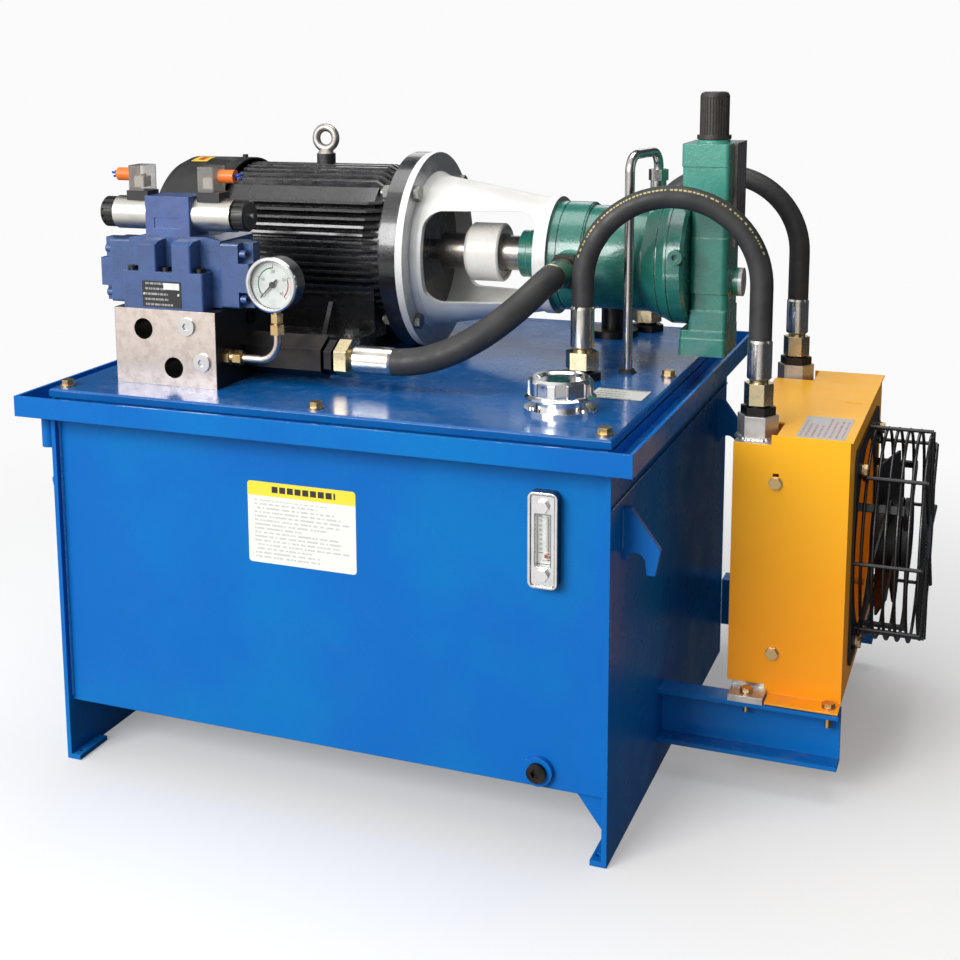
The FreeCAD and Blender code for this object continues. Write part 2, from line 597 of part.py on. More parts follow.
def suction_pipe():
    """Pipe from the pump's far side, down through a flange on the cover into the oil."""
    start = "suction_face"
    x = "port_x"
    parts = [rod("y", (x, "suction_z"), (start, "suction_y - suction_bend"), "suction_radius"),
             elbow((x, "suction_y", "suction_z"), BACK, DOWN, "suction_bend", "suction_radius"),
             rod("z", (x, "suction_y"), ("190", "suction_z - suction_bend"), "suction_radius"),
             rod("z", (x, "suction_y"), ("cover_top", "cover_top + 10"), "34"),
             rod("y", (x, "suction_z"), (start, f"{start} + 9"), "26")]
    return fuse(*parts)


def suction_strainer():
    """Strainer screwed to the foot of the suction pipe."""
    centre = ("port_x", "suction_y")
    parts = [rod("z", centre, ("105", "180"), "35"), hexagon("z", centre, ("180", "205"), "50"),
             rod("z", centre, ("100", "105"), "37")]
    return cut(fuse(*parts), rod("z", centre, ("110", "210"), "suction_radius + 0.05"))


# ---- motor -------------------------------------------------------------------------------------------------

DRIVE = ("drive_y", "drive_z")
BAND_TURN = 44          # degrees from the top, towards the front


def beside_drive(side, low, high):
    """A span of y on one side of the drive axis."""
    return (f"drive_y + {low}", f"drive_y + {high}") if side > 0 else (f"drive_y - {high}", f"drive_y - {low}")


def motor_foot(side):
    """One cast foot on its riser, with the wall and the two webs up to the frame."""
    x = ("foot_bolt_rear_x - 18", "foot_bolt_front_x + 20")
    parts = [block(x, beside_drive(side, 96, 150), ("cover_top", "riser_top")),
             block(x, beside_drive(side, 92, 146), ("riser_top", "foot_top")),
             block(x, beside_drive(side, 60, 98), ("riser_top", "foot_top + 60"))]
    for low in (x[0], "foot_bolt_front_x - 40"):
        web = [(f"drive_y + {side} * 90", "foot_top - 1"), (f"drive_y + {side} * 134", "foot_top - 1"),
               (f"drive_y + {side} * 110", "foot_top + 40"), (f"drive_y + {side} * 90", "foot_top + 40")]
        parts.append(plate("YZ", web, (low, f"{low} + 6")))
    return parts


def motor_fins():
    """Cooling fins down both sides and over the top and bottom, sloped off at the drive end."""
    finned = ("motor_rear", "fin_end")
    fins = []
    for number in range(-5, 6):
        y = about(f"drive_y + {number} * fin_pitch * 1.2", "fin_plate / 2")
        fins.append(block(finned, y, about("drive_z", "fin_tip")))
    for number in range(-7, 8):
        z = about(f"drive_z + {number} * fin_pitch", "fin_plate / 2")
        fins.append(block(finned, about("drive_y", "fin_tip"), z))
    envelope = turned("x", DRIVE, [("motor_rear", "0"), ("motor_rear", "fin_tip"), ("fin_end - 18", "fin_tip"),
                                   ("fin_end", "fin_root"), ("fin_end", "0")])
    return common(envelope, fuse(*fins))


def motor_band(turn):
    """A broad flat rib along the frame, turned about the drive axis from the top."""
    band = block(("0", "fin_end - motor_rear - 12"), about("0", "band_half"), ("0", "band_reach"))
    link = doc.addObject("App::Link", "band")
    link.LinkedObject = band
    link.LinkTransform = True
    link.Placement = Placement(Vector(), Rotation(RIGHT, turn))
    for letter, text in zip("xyz", ("motor_rear", "drive_y", "drive_z")):
        link.setExpression(f".Placement.Base.{letter}", bound(text))
    return link


def motor_frame():
    """Finned cast frame with feet, lifting boss and terminal box."""
    core = rod("x", DRIVE, ("motor_rear", "motor_front"), "motor_core")
    parts = [core, motor_fins(), motor_band(BAND_TURN), rod("x", DRIVE, ("fin_end", "motor_front"), "fin_root")]
    parts.append(rod("z", ("eye_x", "drive_y"), ("drive_z", "eye_z - 21"), "13"))
    parts.append(block(about("terminal_x", "50"), ("drive_y + 80", "terminal_y"), about("terminal_z", "41")))
    parts.append(block(about("terminal_x", "54"), ("terminal_y", "terminal_y + 6"), about("terminal_z", "45")))
    for side in (-1, 1):
        parts += motor_foot(side)
    holes = [rod("x", DRIVE, ("motor_rear - 1", "motor_front + 1"), "motor_bore"),
             rod("z", ("eye_x", "drive_y"), ("eye_z - 42", "eye_z"), "5.05")]
    for x in ("foot_bolt_front_x", "foot_bolt_rear_x"):
        for side in (-1, 1):
            holes.append(rod("z", (x, f"drive_y + {side} * foot_bolt_offset"),
                             ("cover_top - 1", "foot_top + 1"), "6.5"))
    return cut(fuse(*parts), *holes)


def motor_end_shields():
    """Drive-end shield with the mounting flange, and the fan-end shield."""
    face, front, rear = "motor_flange_face", "motor_front", "motor_rear"
    seat_radius, spigot = "bearing_radius + 0.05", "motor_bore - 0.05"
    drive_end = turned("x", DRIVE, [
        (face, "16"), (face, "motor_flange_radius"), (front, "motor_flange_radius"), (front, spigot),
        (f"{front} - 5", spigot), (f"{front} - 5", "40"), (f"{front} - 21", "40"),
        (f"{front} - 21", seat_radius), (f"{front} - 3", seat_radius), (f"{front} - 3", "16")])
    fan_end = turned("x", DRIVE, [
        (f"{rear} - 13", "16"), (f"{rear} - 13", "60"), (f"{rear} - 5", "110"), (rear, "110"),
        (rear, spigot), (f"{rear} + 5", spigot), (f"{rear} + 5", "40"), (f"{rear} + 21", "40"),
        (f"{rear} + 21", seat_radius), (f"{rear} + 3", seat_radius), (f"{rear} + 3", "16")])
    return gather(cut(drive_end, *flange_bolt_holes((f"{front} - 1", f"{face} + 1"))), fan_end)


def flange_bolt_places():
    """The four bolt positions on the motor flange, on its diagonals, as pairs of y and z."""
    reach = "flange_bolt_circle * 0.7071"
    return [(f"drive_y + {y} * {reach}", f"drive_z + {z} * {reach}") for y in (-1, 1) for z in (-1, 1)]


def flange_bolt_holes(span):
    """Bolt holes through a flange."""
    return [rod("x", place, span, "6.05") for place in flange_bolt_places()]


def bearings():
    """The motor's two ball bearings, each as one ring."""
    rings = [pipe("x", DRIVE, span, "bearing_radius", "journal_radius + 0.05")
             for span in (("motor_front - 20", "motor_front - 4"), ("motor_rear + 4", "motor_rear + 20"))]
    return gather(*rings)


def stator_core():
    """Laminated stator with its winding heads."""
    low, high = "motor_rear + 37", "motor_front - 41"
    return turned("x", DRIVE, [
        (low, "rotor_radius + 0.6"), (low, "62"), (f"{low} - 14", "62"), (f"{low} - 14", "80"),
        (low, "80"), (low, "motor_bore - 0.1"), (high, "motor_bore - 0.1"), (high, "80"),
        (f"{high} + 14", "80"), (f"{high} + 14", "62"), (high, "62"), (high, "rotor_radius + 0.6")])


def rotor_shaft():
    """Motor shaft with the rotor's core on it."""
    low, high = "motor_rear + 40", "motor_front - 44"
    journal = "journal_radius"
    return turned("x", DRIVE, [
        ("motor_rear - 50", "0"), ("motor_rear - 50", "12"), ("motor_rear - 20", "12"),
        ("motor_rear - 20", journal), ("motor_rear + 28", journal), ("motor_rear + 28", "20"),
        (low, "20"), (low, "rotor_radius"), (high, "rotor_radius"), (high, "20"),
        ("motor_front - 26", "20"), ("motor_front - 26", journal), ("motor_flange_face", journal),
        ("motor_flange_face", "shaft_radius"), ("sleeve_start", "shaft_radius"), ("sleeve_start", "0")])


def radial_fan(hub_radius, bore, tip, blades, span, blade_sheet):
    """A hub with flat radial blades around the X axis, one padded blade repeated."""
    body = turned("x", DRIVE, [(span[0], bore), (span[0], hub_radius), (span[1], hub_radius),
                               (span[1], bore)])
    blade = body.newObject("PartDesign::Pad", "Blade")
    blade.Profile = outline_sketch(body, "YZ", rectangle(about("0", f"{blade_sheet} / 2"),
                                                         (f"{hub_radius} - 1", tip)), span[0])
    blade.setExpression("Length", bound(f"({span[1]}) - ({span[0]})"))
    return repeat_round(body, blade, "X", blades)


def motor_fan():
    """Cooling fan on the motor shaft's rear end."""
    return radial_fan("24", "12.05", "92", "8", ("motor_rear - 46", "motor_rear - 22"), "3")


def fan_cowl():
    """Pressed steel cowl over the fan, with an air grille in its rear face."""
    sheet_metal, radius, rear = "cowl_sheet", "cowl_radius", "cowl_rear"
    body = turned("x", DRIVE, [
        ("cowl_front", f"{radius} - {sheet_metal}"), ("cowl_front", radius), (f"{rear} + 22", radius),
        (f"{rear} + 9", f"{radius} - 6"), (rear, f"{radius} - 20"), (rear, "0"),
        (f"{rear} + {sheet_metal}", "0"), (f"{rear} + {sheet_metal}", f"{radius} - 21"),
        (f"{rear} + 11", f"{radius} - 8.5"), (f"{rear} + 22", f"{radius} - {sheet_metal}")])
    slot = body.newObject("PartDesign::Pocket", "GrilleSlot")
    slot.Profile = outline_sketch(body, "YZ", rectangle(about("0", "3"), ("30", "88")), f"{rear} + 8")
    slot.setExpression("Length", bound("20"))
    cowl = repeat_round(body, slot, "X", "28")
    screw = rod("z", ("cowl_front - 12", "0"), (f"{radius} - 1.5", f"{radius} + 4"), "4")
    return fuse(cowl, *around_x(screw, DRIVE, 3))


def eyebolt():
    """Lifting eyebolt on the motor frame."""
    centre = ("eye_x", "drive_y")
    return fuse(ring("y", ("eye_x", "eye_z"), "drive_y", "eye_radius", "eye_wire"),
                cone("z", centre, ("eye_z - 21", "eye_z - 15"), ("12", "8")),
                rod("z", centre, ("eye_z - 40", "eye_z - 15"), "5"))


def drive_bolts():
    """Steel bolts of the motor feet and of the bell flange, and the valve's socket screws."""
    foot = hex_bolt("18", "8", "6", "foot_top - cover_top + 9", "12")
    places = [(UP, (x, f"drive_y + {side} * foot_bolt_offset", "foot_top"))
              for x in ("foot_bolt_front_x", "foot_bolt_rear_x") for side in (-1, 1)]
    flange = fuse(hex_bolt("18", "8", "6", "bell_flange - motor_front + 14"),
                  hexagon("z", ("0", "0"), ("-(bell_flange - motor_front) - 10.05",
                                            "-(bell_flange - motor_front) - 0.05"), "18"))
    flange_places = [(RIGHT, ("bell_flange", *place)) for place in flange_bolt_places()]
    pocket = socket_screw("6.5", "10", "4", "18", "6")
    pockets = [(UP, (x, "block_front + 12", "valve_step - 5")) for x in VALVE_SCREWS]
    chrome = hex_bolt("13", "5", "level_bolt_radius", "level_depth + tank_plate + 6", "7.5")
    panel = "-tank_depth / 2 + front_inset - level_depth + level_recess"
    levels = [(FORWARD, ("level_x", panel, f"level_z + {end} * level_spacing / 2")) for end in (-1, 1)]
    return gather(*copies(foot, places), *copies(flange, flange_places), *copies(pocket, pockets),
                  *copies(chrome, levels))


# ---- bell housing and coupling -----------------------------------------------------------------------------

def bell_housing():
    """Cast bell between the motor flange and the pump, with a window on each side."""
    face, end, start = "bell_flange", "bell_end", "bell_ring_start"
    body = turned("x", DRIVE, [
        ("motor_flange_face", "95"), ("motor_flange_face", "motor_flange_radius"),
        (face, "motor_flange_radius"), (face, "106"), (f"{face} + 8", "101"), (start, "74"),
        (start, "bell_ring_radius"), (end, "bell_ring_radius"), (end, "bell_bore"),
        (f"{start} - 9", "bell_bore"), (f"{start} - 9", "66")])
    opening = plate("XZ", rectangle(("window_start", "window_end"), ("window_low", "window_high")),
                    about("drive_y", "150"))
    window = soften(opening, "window_corner", parallel("y"))
    return cut(body, window, *flange_bolt_holes(("motor_flange_face - 1", f"{face} + 1")))


def coupling_hubs():
    """Toothed steel hubs on the motor and pump shafts."""
    motor_hub = turned("x", DRIVE, [
        ("motor_flange_face + 19", "shaft_radius + 0.02"), ("motor_flange_face + 19", "24"),
        ("sleeve_start + 1", "24"), ("sleeve_start + 1", "hub_radius"),
        ("sleeve_start + 18", "hub_radius"), ("sleeve_start + 18", "shaft_radius + 0.02")])
    pump_hub = turned("x", DRIVE, [
        ("sleeve_start + 20", "pump_shaft_radius + 0.02"), ("sleeve_start + 20", "hub_radius"),
        ("sleeve_end + 1", "hub_radius"), ("sleeve_end + 1", "pump_hub_radius"),
        ("nose_start - 1", "pump_hub_radius"), ("nose_start - 1", "pump_shaft_radius + 0.02")])
    return gather(motor_hub, pump_hub)


def coupling_sleeve():
    """Nylon sleeve that joins the two hubs, recessed at its pump end."""
    bore = "hub_radius + 0.05"
    low, high, radius = "sleeve_start", "sleeve_end", "sleeve_radius"
    return turned("x", DRIVE, [(low, bore), (low, f"{radius} - 5"), (f"{low} + 5", radius),
                               (f"{high} - 2", radius), (high, f"{radius} - 2"), (high, f"{radius} - 5"),
                               (f"{high} - 4", f"{radius} - 5"), (f"{high} - 4", bore)])


# ---- pump --------------------------------------------------------------------------------------------------

PORT = ("port_x", "port_z")


def seam(along, before, after):
    """A fine groove between two sections of a turned casting."""
    return [(f"{along} - 1", before), (f"{along} - 1", f"{before} - 1.5"), (f"{along} + 1", f"{before} - 1.5"),
            (f"{along} + 1", after)]


def pump_housing():
    """Cast pump body with seams between its sections, port bosses and the nose in the bell's bore."""
    body, drum, flare, spigot = "pump_radius", "drum_radius", "flare_radius", "bell_bore - 0.05"
    profile = [("nose_start", "pump_shaft_radius + 0.05"), ("nose_start", "nose_radius - 1"),
               ("nose_start + 10", "nose_radius - 1"), ("nose_start + 11", "nose_radius"),
               ("bell_ring_start - 10", "nose_radius"), ("bell_ring_start - 10", spigot),
               ("bell_end", spigot), ("bell_end", body)]
    profile += seam("186", body, body) + seam("218", body, drum)
    profile.append(("295", drum))
    profile += seam("314", f"{flare} - 5.5", f"{flare} - 5")
    profile.append(("325", flare))
    profile += seam("329", flare, flare)
    profile += [("pump_end - 4", flare), ("pump_end", f"{flare} - 4"), ("pump_end", "0"),
                ("cavity_end", "0"), ("cavity_end", "pump_cavity"), ("cavity_start", "pump_cavity"),
                ("cavity_start", "pump_shaft_radius + 0.05")]
    side_port = ("side_port_x", "side_port_z")
    drain = ("drain_far_x", "drive_y")
    bosses = [rod("y", PORT, ("port_face", "drive_y - 40"), "port_radius"),
              cone("y", PORT, ("port_face + 2", "port_face + 18"), ("port_radius", "port_radius + 8")),
              rod("y", ("port_x", "suction_z"), ("drive_y + 40", "suction_face"), "port_radius"),
              rod("y", side_port, ("side_port_face", "drive_y - 60"), "9"),
              rod("z", drain, ("drive_z + 60", "drain_port_z"), "13")]
    cavity = rod("x", DRIVE, ("cavity_start", "cavity_end"), "pump_cavity")
    holes = [rod("y", PORT, ("port_face - 1", "drive_y - 30"), "12.05"),
             hexagon("y", side_port, ("side_port_face - 1", "side_port_face + 6"), "7"),
             rod("z", drain, ("drive_z + 55", "drain_port_z + 1"), "7.05"), cavity]
    return cut(fuse(turned("x", DRIVE, profile), *bosses), *holes)


def pump_control_head():
    """Cast head with the stroke-control piston, stepped along its height, and the adjuster's stem."""
    end, full = "head_end", "head_y"
    above, under = "drive_z + flare_radius + 2", "drive_z - flare_radius - 2"

    def section(x_low, half_depth, low, high, corner="5"):
        outline = rectangle((x_low, end), about("drive_y", half_depth))
        return soften(plate("XY", outline, (low, high)), corner, parallel("z"))
    adjuster = ("adjuster_x", "drive_y")
    boss = ("drive_y", "drive_z - 24")
    parts = [section("head_start", full, "head_high - 28", "head_high"),
             section("head_start + 1", f"{full} - 1", above, "head_high - 27"),
             section("pump_end", f"{full} - 6", "drive_z + 33", f"{above} + 1", "8"),
             section("pump_end", f"{full} - 3", "drive_z - 35", "drive_z + 34", "8"),
             section("pump_end", f"{full} - 8", "drive_z - 58", "drive_z - 34", "8"),
             section("pump_end", f"{full} - 4", f"{under} - 1", "drive_z - 57"),
             section("head_start + 1", f"{full} - 1", "head_low + 21", under),
             section("head_start", full, "head_low", "head_low + 22"),
             rod("x", boss, (f"{end} - 2", f"{end} + 14"), "18"),
             block((f"{end} - 1", f"{end} + 6"), ("drive_y - 20", f"drive_y + {full}"),
                   ("drive_z + 22", "head_high")),
             rod("z", adjuster, ("head_high - 1", "head_high + 3"), "20"),
             rod("z", adjuster, ("head_high", "adjuster_low + 28"), "stem_radius")]
    return fuse(*parts)


def pump_adjust_cap():
    """Ribbed knob of the pressure adjuster, on its stem."""
    low, high, radius = "adjuster_low", "adjuster_high", "adjuster_radius"
    bore = "stem_radius + 0.05"
    body = turned("z", ("adjuster_x", "drive_y"), [
        (low, bore), (low, f"{radius} + 3"), (f"{low} + 5", f"{radius} + 3"), (f"{low} + 5", radius),
        (f"{high} - 5", radius), (f"{high} - 1.5", f"{radius} - 1.5"), (high, f"{radius} - 4"),
        (high, "0"), (f"{low} + 30", "0"), (f"{low} + 30", bore)])
    groove = body.newObject("PartDesign::Pocket", "Groove")
    groove.Profile = outline_sketch(body, "XY", [(f"{radius} - 0.8", "0"), (f"{radius} + 2", "-1.8"),
                                                 (f"{radius} + 2", "1.8")], f"{high} - 6")
    groove.setExpression("Length", bound(f"{high} - {low} - 12"))
    return repeat_round(body, groove, "Z", "30")


def pump_shaft():
    """Pump's drive shaft."""
    return rod("x", DRIVE, ("sleeve_start + 21", "swash_start - 3.5"), "pump_shaft_radius")


def cylinder_block():
    """Rotating cylinder block with its pistons, at zero stroke."""
    bored = pipe("x", DRIVE, ("cavity_start + 4", "barrel_end"), "50", "pump_shaft_radius + 0.02")
    piston = rod("x", ("0", "34"), ("barrel_end - 6", "swash_start - 0.5"), "8")
    return fuse(bored, *around_x(piston, DRIVE, 9))


def swash_plate():
    """Swash plate that the piston shoes bear on, upright at zero stroke."""
    return rod("x", DRIVE, ("swash_start", "swash_start + 9.5"), "53")


def case_drain_tube():
    """Steel tube from the pump case down into the tank, with its union nut."""
    radius, bend, top = "drain_tube_radius", "drain_tube_bend", "drain_tube_top"
    run = ("drain_far_x - drain_tube_x", "drive_y - drain_tube_y")
    reach = f"sqrt(({run[0]}) ^ 2 + ({run[1]}) ^ 2)"
    upright = fuse(rod("z", ("0", "0"), ("cover_top - 40", f"{top} - {bend}"), radius),
                   elbow(("0", "0", top), UP, BACK, bend, radius),
                   rod("y", ("0", top), (bend, f"{reach} - {bend}"), radius),
                   elbow(("0", reach, top), BACK, DOWN, bend, radius),
                   rod("z", ("0", reach), ("drain_port_z + 3", f"{top} - {bend}"), radius))
    tube = doc.addObject("App::Link", "tube")
    tube.LinkedObject = upright
    tube.LinkTransform = True
    tube.Placement = Placement(Vector(), Rotation(BACK, Vector(value(run[0]), value(run[1]), 0)))
    for letter, text in zip("xy", ("drain_tube_x", "drain_tube_y")):
        tube.setExpression(f".Placement.Base.{letter}", bound(text))
    port = ("drain_far_x", "drive_y")
    nut = cut(fuse(hexagon("z", port, ("drain_port_z + 13", "drain_port_z + 27"), "22"),
                   rod("z", port, ("drain_port_z", "drain_port_z + 14"), "10"),
                   rod("z", port, ("drain_port_z - 12", "drain_port_z + 1"), "7")),
              rod("z", port, ("drain_port_z + 2", "drain_port_z + 28"), f"{radius} + 0.05"))
    return gather(tube, nut)


# ---- manifold, valves and pressure gauge -------------------------------------------------------------------

def manifold_block():
    """Ported steel block on the cover, with two open work ports in its front."""
    outline = rectangle(("block_left", "block_right"), ("block_front", "block_back"))
    body = soften(plate("XY", outline, ("cover_top", "block_top")), "1", parallel("z"), "Chamfer")
    mouth = ("block_front - 1", "block_front + work_port_depth")
    plug_bore = ("block_front - 1", "block_front + 14")
    side = ("block_right - 14", "block_right + 1")
    holes = [rod("y", ("port_a_x", "port_a_z"), mouth, "work_port_radius"),
             rod("y", ("port_b_x", "port_b_z"), mouth, "work_port_radius"),
             rod("y", ("-191", "555"), plug_bore, "plug_thread + 0.05"),
             rod("y", ("-171", "512"), plug_bore, "plug_thread + 0.05"),
             rod("x", ("-171", "557"), side, "plug_thread + 0.05"),
             rod("x", ("check_y", "check_z"), ("block_right - 16", "block_right + 1"), "12.05"),
             rod("x", ("gauge_port_y", "gauge_port_z"), side, "7.05")]
    return cut(body, *holes)


def port_plugs():
    """Hexagon-socket screw plugs in the manifold's unused ports."""
    master = socket_screw("plug_radius", "3", "plug_thread", "12", "8")
    places = [(FORWARD, ("-191", "block_front", "555")), (FORWARD, ("-171", "block_front", "512")),
              (RIGHT, ("block_right", "-171", "557"))]
    return gather(*copies(master, places))


SPOOL = ("spool_y", "spool_z")
VALVE_SCREWS = ("-270.5", "-223.5", "-176")
PILOT = ("pilot_y", "pilot_z")


def main_valve_body():
    """Cast body of the main directional valve: a low front, two towers and a higher back."""
    front = "block_front"
    low = plate("XY", rectangle(("step_left", "step_right"), (front, "valve_back")),
                ("block_top", "valve_step"))
    towers = []
    for x in (("-257", "-231"), ("-210", "-183")):
        outline = [(front, "valve_step - 1"), ("spool_y", "valve_step - 1"), ("spool_y", "valve_top - 1"),
                   (f"{front} + 8", "valve_top - 4"), (front, "valve_top - 8")]
        towers.append(plate("YZ", outline, x))
    upper = plate("XZ", [("valve_left", "end_cap_bottom"), ("valve_right", "end_cap_bottom"),
                         ("valve_right", "valve_top - 4"), ("valve_right - 20", "valve_top"),
                         ("valve_left + 20", "valve_top"), ("valve_left", "valve_top - 4")],
                  (f"{front} + 24", "valve_back"))
    casting = fuse(soften(low, "3", parallel("z")), *[soften(tower, "3", parallel("z")) for tower in towers],
                   upper)
    holes = [rod("x", SPOOL, ("valve_left - 1", "valve_right + 1"), "spool_radius + 0.05")]
    for x in VALVE_SCREWS:
        holes.append(rod("z", (x, f"{front} + 12"), ("valve_step - 25", "valve_step + 1"), "4.05"))
        holes.append(rod("z", (x, f"{front} + 12"), ("valve_step - 5", "valve_step + 1"), "7"))
    return cut(casting, *holes)


def valve_cap(side, inner, outer):
    """One end cap of the main valve, notched at its outer corners, with its four screws."""
    low, high = "end_cap_bottom", "end_cap_top"
    front, back, notch = "end_cap_front", "end_cap_back", "end_cap_notch"
    sign = "+" if side > 0 else "-"

    def span(near, far):
        return (near, far) if side > 0 else (far, near)
    body = soften(plate("YZ", rectangle((front, back), (low, high)), span(inner, outer)), "3", parallel("x"))
    tools = [block(span(f"{outer} - ({sign}{notch})", f"{outer} {sign} 1"), y, z)
             for y in ((f"{front} - 1", f"{front} + 13"), (f"{back} - 13", f"{back} + 1"))
             for z in ((f"{low} - 1", f"{low} + 20"), (f"{high} - 24", f"{high} + 1"))]
    tools.append(rod("x", SPOOL, span(f"{inner} {'-' if side > 0 else '+'} 1", f"{inner} {sign} 16"),
                     "spool_radius + 2"))
    screw = socket_screw("5", "8", "2", "0.5", "5")
    seat_x = f"{outer} - ({sign}{notch}) {sign} 0.55"
    places = [(RIGHT if side > 0 else LEFT, (seat_x, y, z)) for y in (f"{front} + 6.5", f"{back} - 6.5")
              for z in (f"{low} + 11", f"{high} - 13")]
    return [cut(body, *tools), *copies(screw, places)]


def main_valve_caps():
    """End caps of the main valve, with their screws."""
    return gather(*valve_cap(-1, "valve_left", "end_cap_left"), *valve_cap(1, "valve_right", "end_cap_right"))


def main_spool():
    """Sliding spool of the main valve, with its lands."""
    low, high, land = "valve_left + 4", "valve_right - 4", "spool_radius"
    profile = [(low, "0"), (low, land)]
    for start, stop in (("-250", "-236"), ("-222", "-208"), ("-192", "-172")):
        profile += [(start, land), (start, "9"), (stop, "9"), (stop, land)]
    profile += [(high, land), (high, "0")]
    return turned("x", SPOOL, profile)


def pilot_valve_body():
    """Pilot directional valve on top of the main valve, with a blank recessed panel."""
    y = about("pilot_y", "pilot_half")
    outline = rectangle(("pilot_left", "pilot_right"), y)
    body = soften(plate("XY", outline, ("valve_top", "pilot_top")), "2", parallel("z"))
    panel = block(("pilot_left + 13", "pilot_right - 14"),
                  ("pilot_y - pilot_half - 1", "pilot_y - pilot_half + 1"), ("valve_top + 9", "valve_top + 22"))
    return cut(body, panel, rod("x", PILOT, ("pilot_left - 1", "pilot_right + 1"), "8.05"))


def pilot_spool():
    """Pilot valve's spool, between the two solenoids' plungers."""
    rods = [rod("x", PILOT, ("pilot_left + 4", "pilot_right - 4"), "5")]
    for low, high in (("8", "20"), ("28", "39"), ("47", "59")):
        rods.append(rod("x", PILOT, (f"pilot_left + {low}", f"pilot_left + {high}"), "8"))
    return fuse(*rods)


def solenoids():
    """Coil and tube of each solenoid, with the override's guide bore."""
    tubes = []
    for low, high in (("solenoid_left", "pilot_left"), ("pilot_right", "solenoid_right")):
        tubes.append(pipe("x", PILOT, (low, high), "solenoid_radius", "5.5"))
    return gather(*tubes)


def solenoid_nuts():
    """Ribbed retaining nuts of the coils."""
    nuts = []
    for low, high in (("nut_left", "solenoid_left"), ("solenoid_right", "nut_right")):
        outer = "nut_left" if low == "nut_left" else "nut_right"
        body = turned("x", PILOT, [(low, "pin_radius + 0.05"), (low, "solenoid_nut_radius - 2"),
                                   (f"{low} + 2", "solenoid_nut_radius"),
                                   (f"{high} - 2", "solenoid_nut_radius"),
                                   (high, "solenoid_nut_radius - 2"), (high, "pin_radius + 0.05")])
        rib_start = f"{low} + 3" if outer == "nut_left" else f"{low} + 1"
        groove = body.newObject("PartDesign::Pocket", "Groove")
        groove.Profile = outline_sketch(body, "YZ", rectangle(about("0", "1.6"), ("solenoid_nut_radius - 2",
                                        "solenoid_nut_radius + 2")), f"{rib_start} + 14")
        groove.setExpression("Length", bound("14"))
        nuts.append(repeat_round(body, groove, "X", "14"))
    return gather(*nuts)


def override_pin_left():
    """Manual override button in the left solenoid's end."""
    return rod("x", PILOT, ("nut_left - 3", "solenoid_left + 20"), "pin_radius")


def override_pin_right():
    """Manual override button in the right solenoid's end."""
    return rod("x", PILOT, ("solenoid_right - 20", "nut_right + 3"), "pin_radius")


def solenoid_connectors():
    """Plug bases, housings and cable glands of the two solenoids."""
    y = about("pilot_y", "13")
    radius = "solenoid_radius + 0.05"
    pieces = []
    for base, housing, gland in ((("-290", "-260"), ("-286", "-263"), ("-308", "-286")),
                                 (("-191", "-160"), ("-189", "-166"), ("-166", "-144"))):
        seat_block = cut(block(base, y, ("plug_base_z - 4", "plug_housing_z")),
                         rod("x", PILOT, (f"{base[0]} - 1", f"{base[1]} + 1"), radius))
        shell = soften(plate("XY", rectangle(housing, about("pilot_y", "15")),
                             ("plug_housing_z", "plug_top_z")), "2.5", parallel("z"))
        cable_gland = rod("x", ("pilot_y", "gland_z"), gland, "8")
        pieces.append(fuse(seat_block, shell, cable_gland))
    return gather(*pieces)


GAUGE = ("gauge_x", "gauge_z")


def gauge_case():
    """Round case and bezel of the pressure gauge, with the needle's pivot in its middle."""
    face, back, radius = "gauge_face_y", "gauge_back_y", "gauge_radius"
    return turned("y", GAUGE, [
        (back, "0"), (back, f"{radius} - 3"), (f"{back} - 3", f"{radius} - 1"),
        (f"{face} + 5", f"{radius} - 1"), (f"{face} + 5", radius), (f"{face} + 1", radius),
        (face, f"{radius} - 2"), (face, f"{radius} - 4"), (f"{face} + 2", f"{radius} - 4"),
        (f"{face} + 8", f"{radius} - 4"), (f"{face} + 8", "2"), (f"{face} + 5.5", "2"),
        (f"{face} + 5.5", "0")])


def gauge_lens():
    """Clear glass of the pressure gauge."""
    return rod("y", GAUGE, ("gauge_face_y + 1", "gauge_face_y + 3"), "gauge_radius - 4.05")


def gauge_needle():
    """Needle of the pressure gauge, pointing at zero."""
    body = doc.addObject("PartDesign::Body", "needle")
    pad = body.newObject("PartDesign::Pad", "Pad")
    pad.Profile = outline_sketch(body, "XZ", [("-1", "-9"), ("1", "-9"), ("1.1", "0"), ("0.3", "22"),
                                              ("-0.3", "22"), ("-1.1", "0")])
    pad.setExpression("Length", bound("1"))
    body.Placement = Placement(Vector(), Rotation(Vector(0, 1, 0), 225))
    for letter, text in zip("xyz", ("gauge_x", "gauge_face_y + 5", "gauge_z")):
        body.setExpression(f".Placement.Base.{letter}", bound(text))
    hub = rod("y", GAUGE, ("gauge_face_y + 3.6", "gauge_face_y + 5.3"), "3.5")
    return fuse(body, hub)


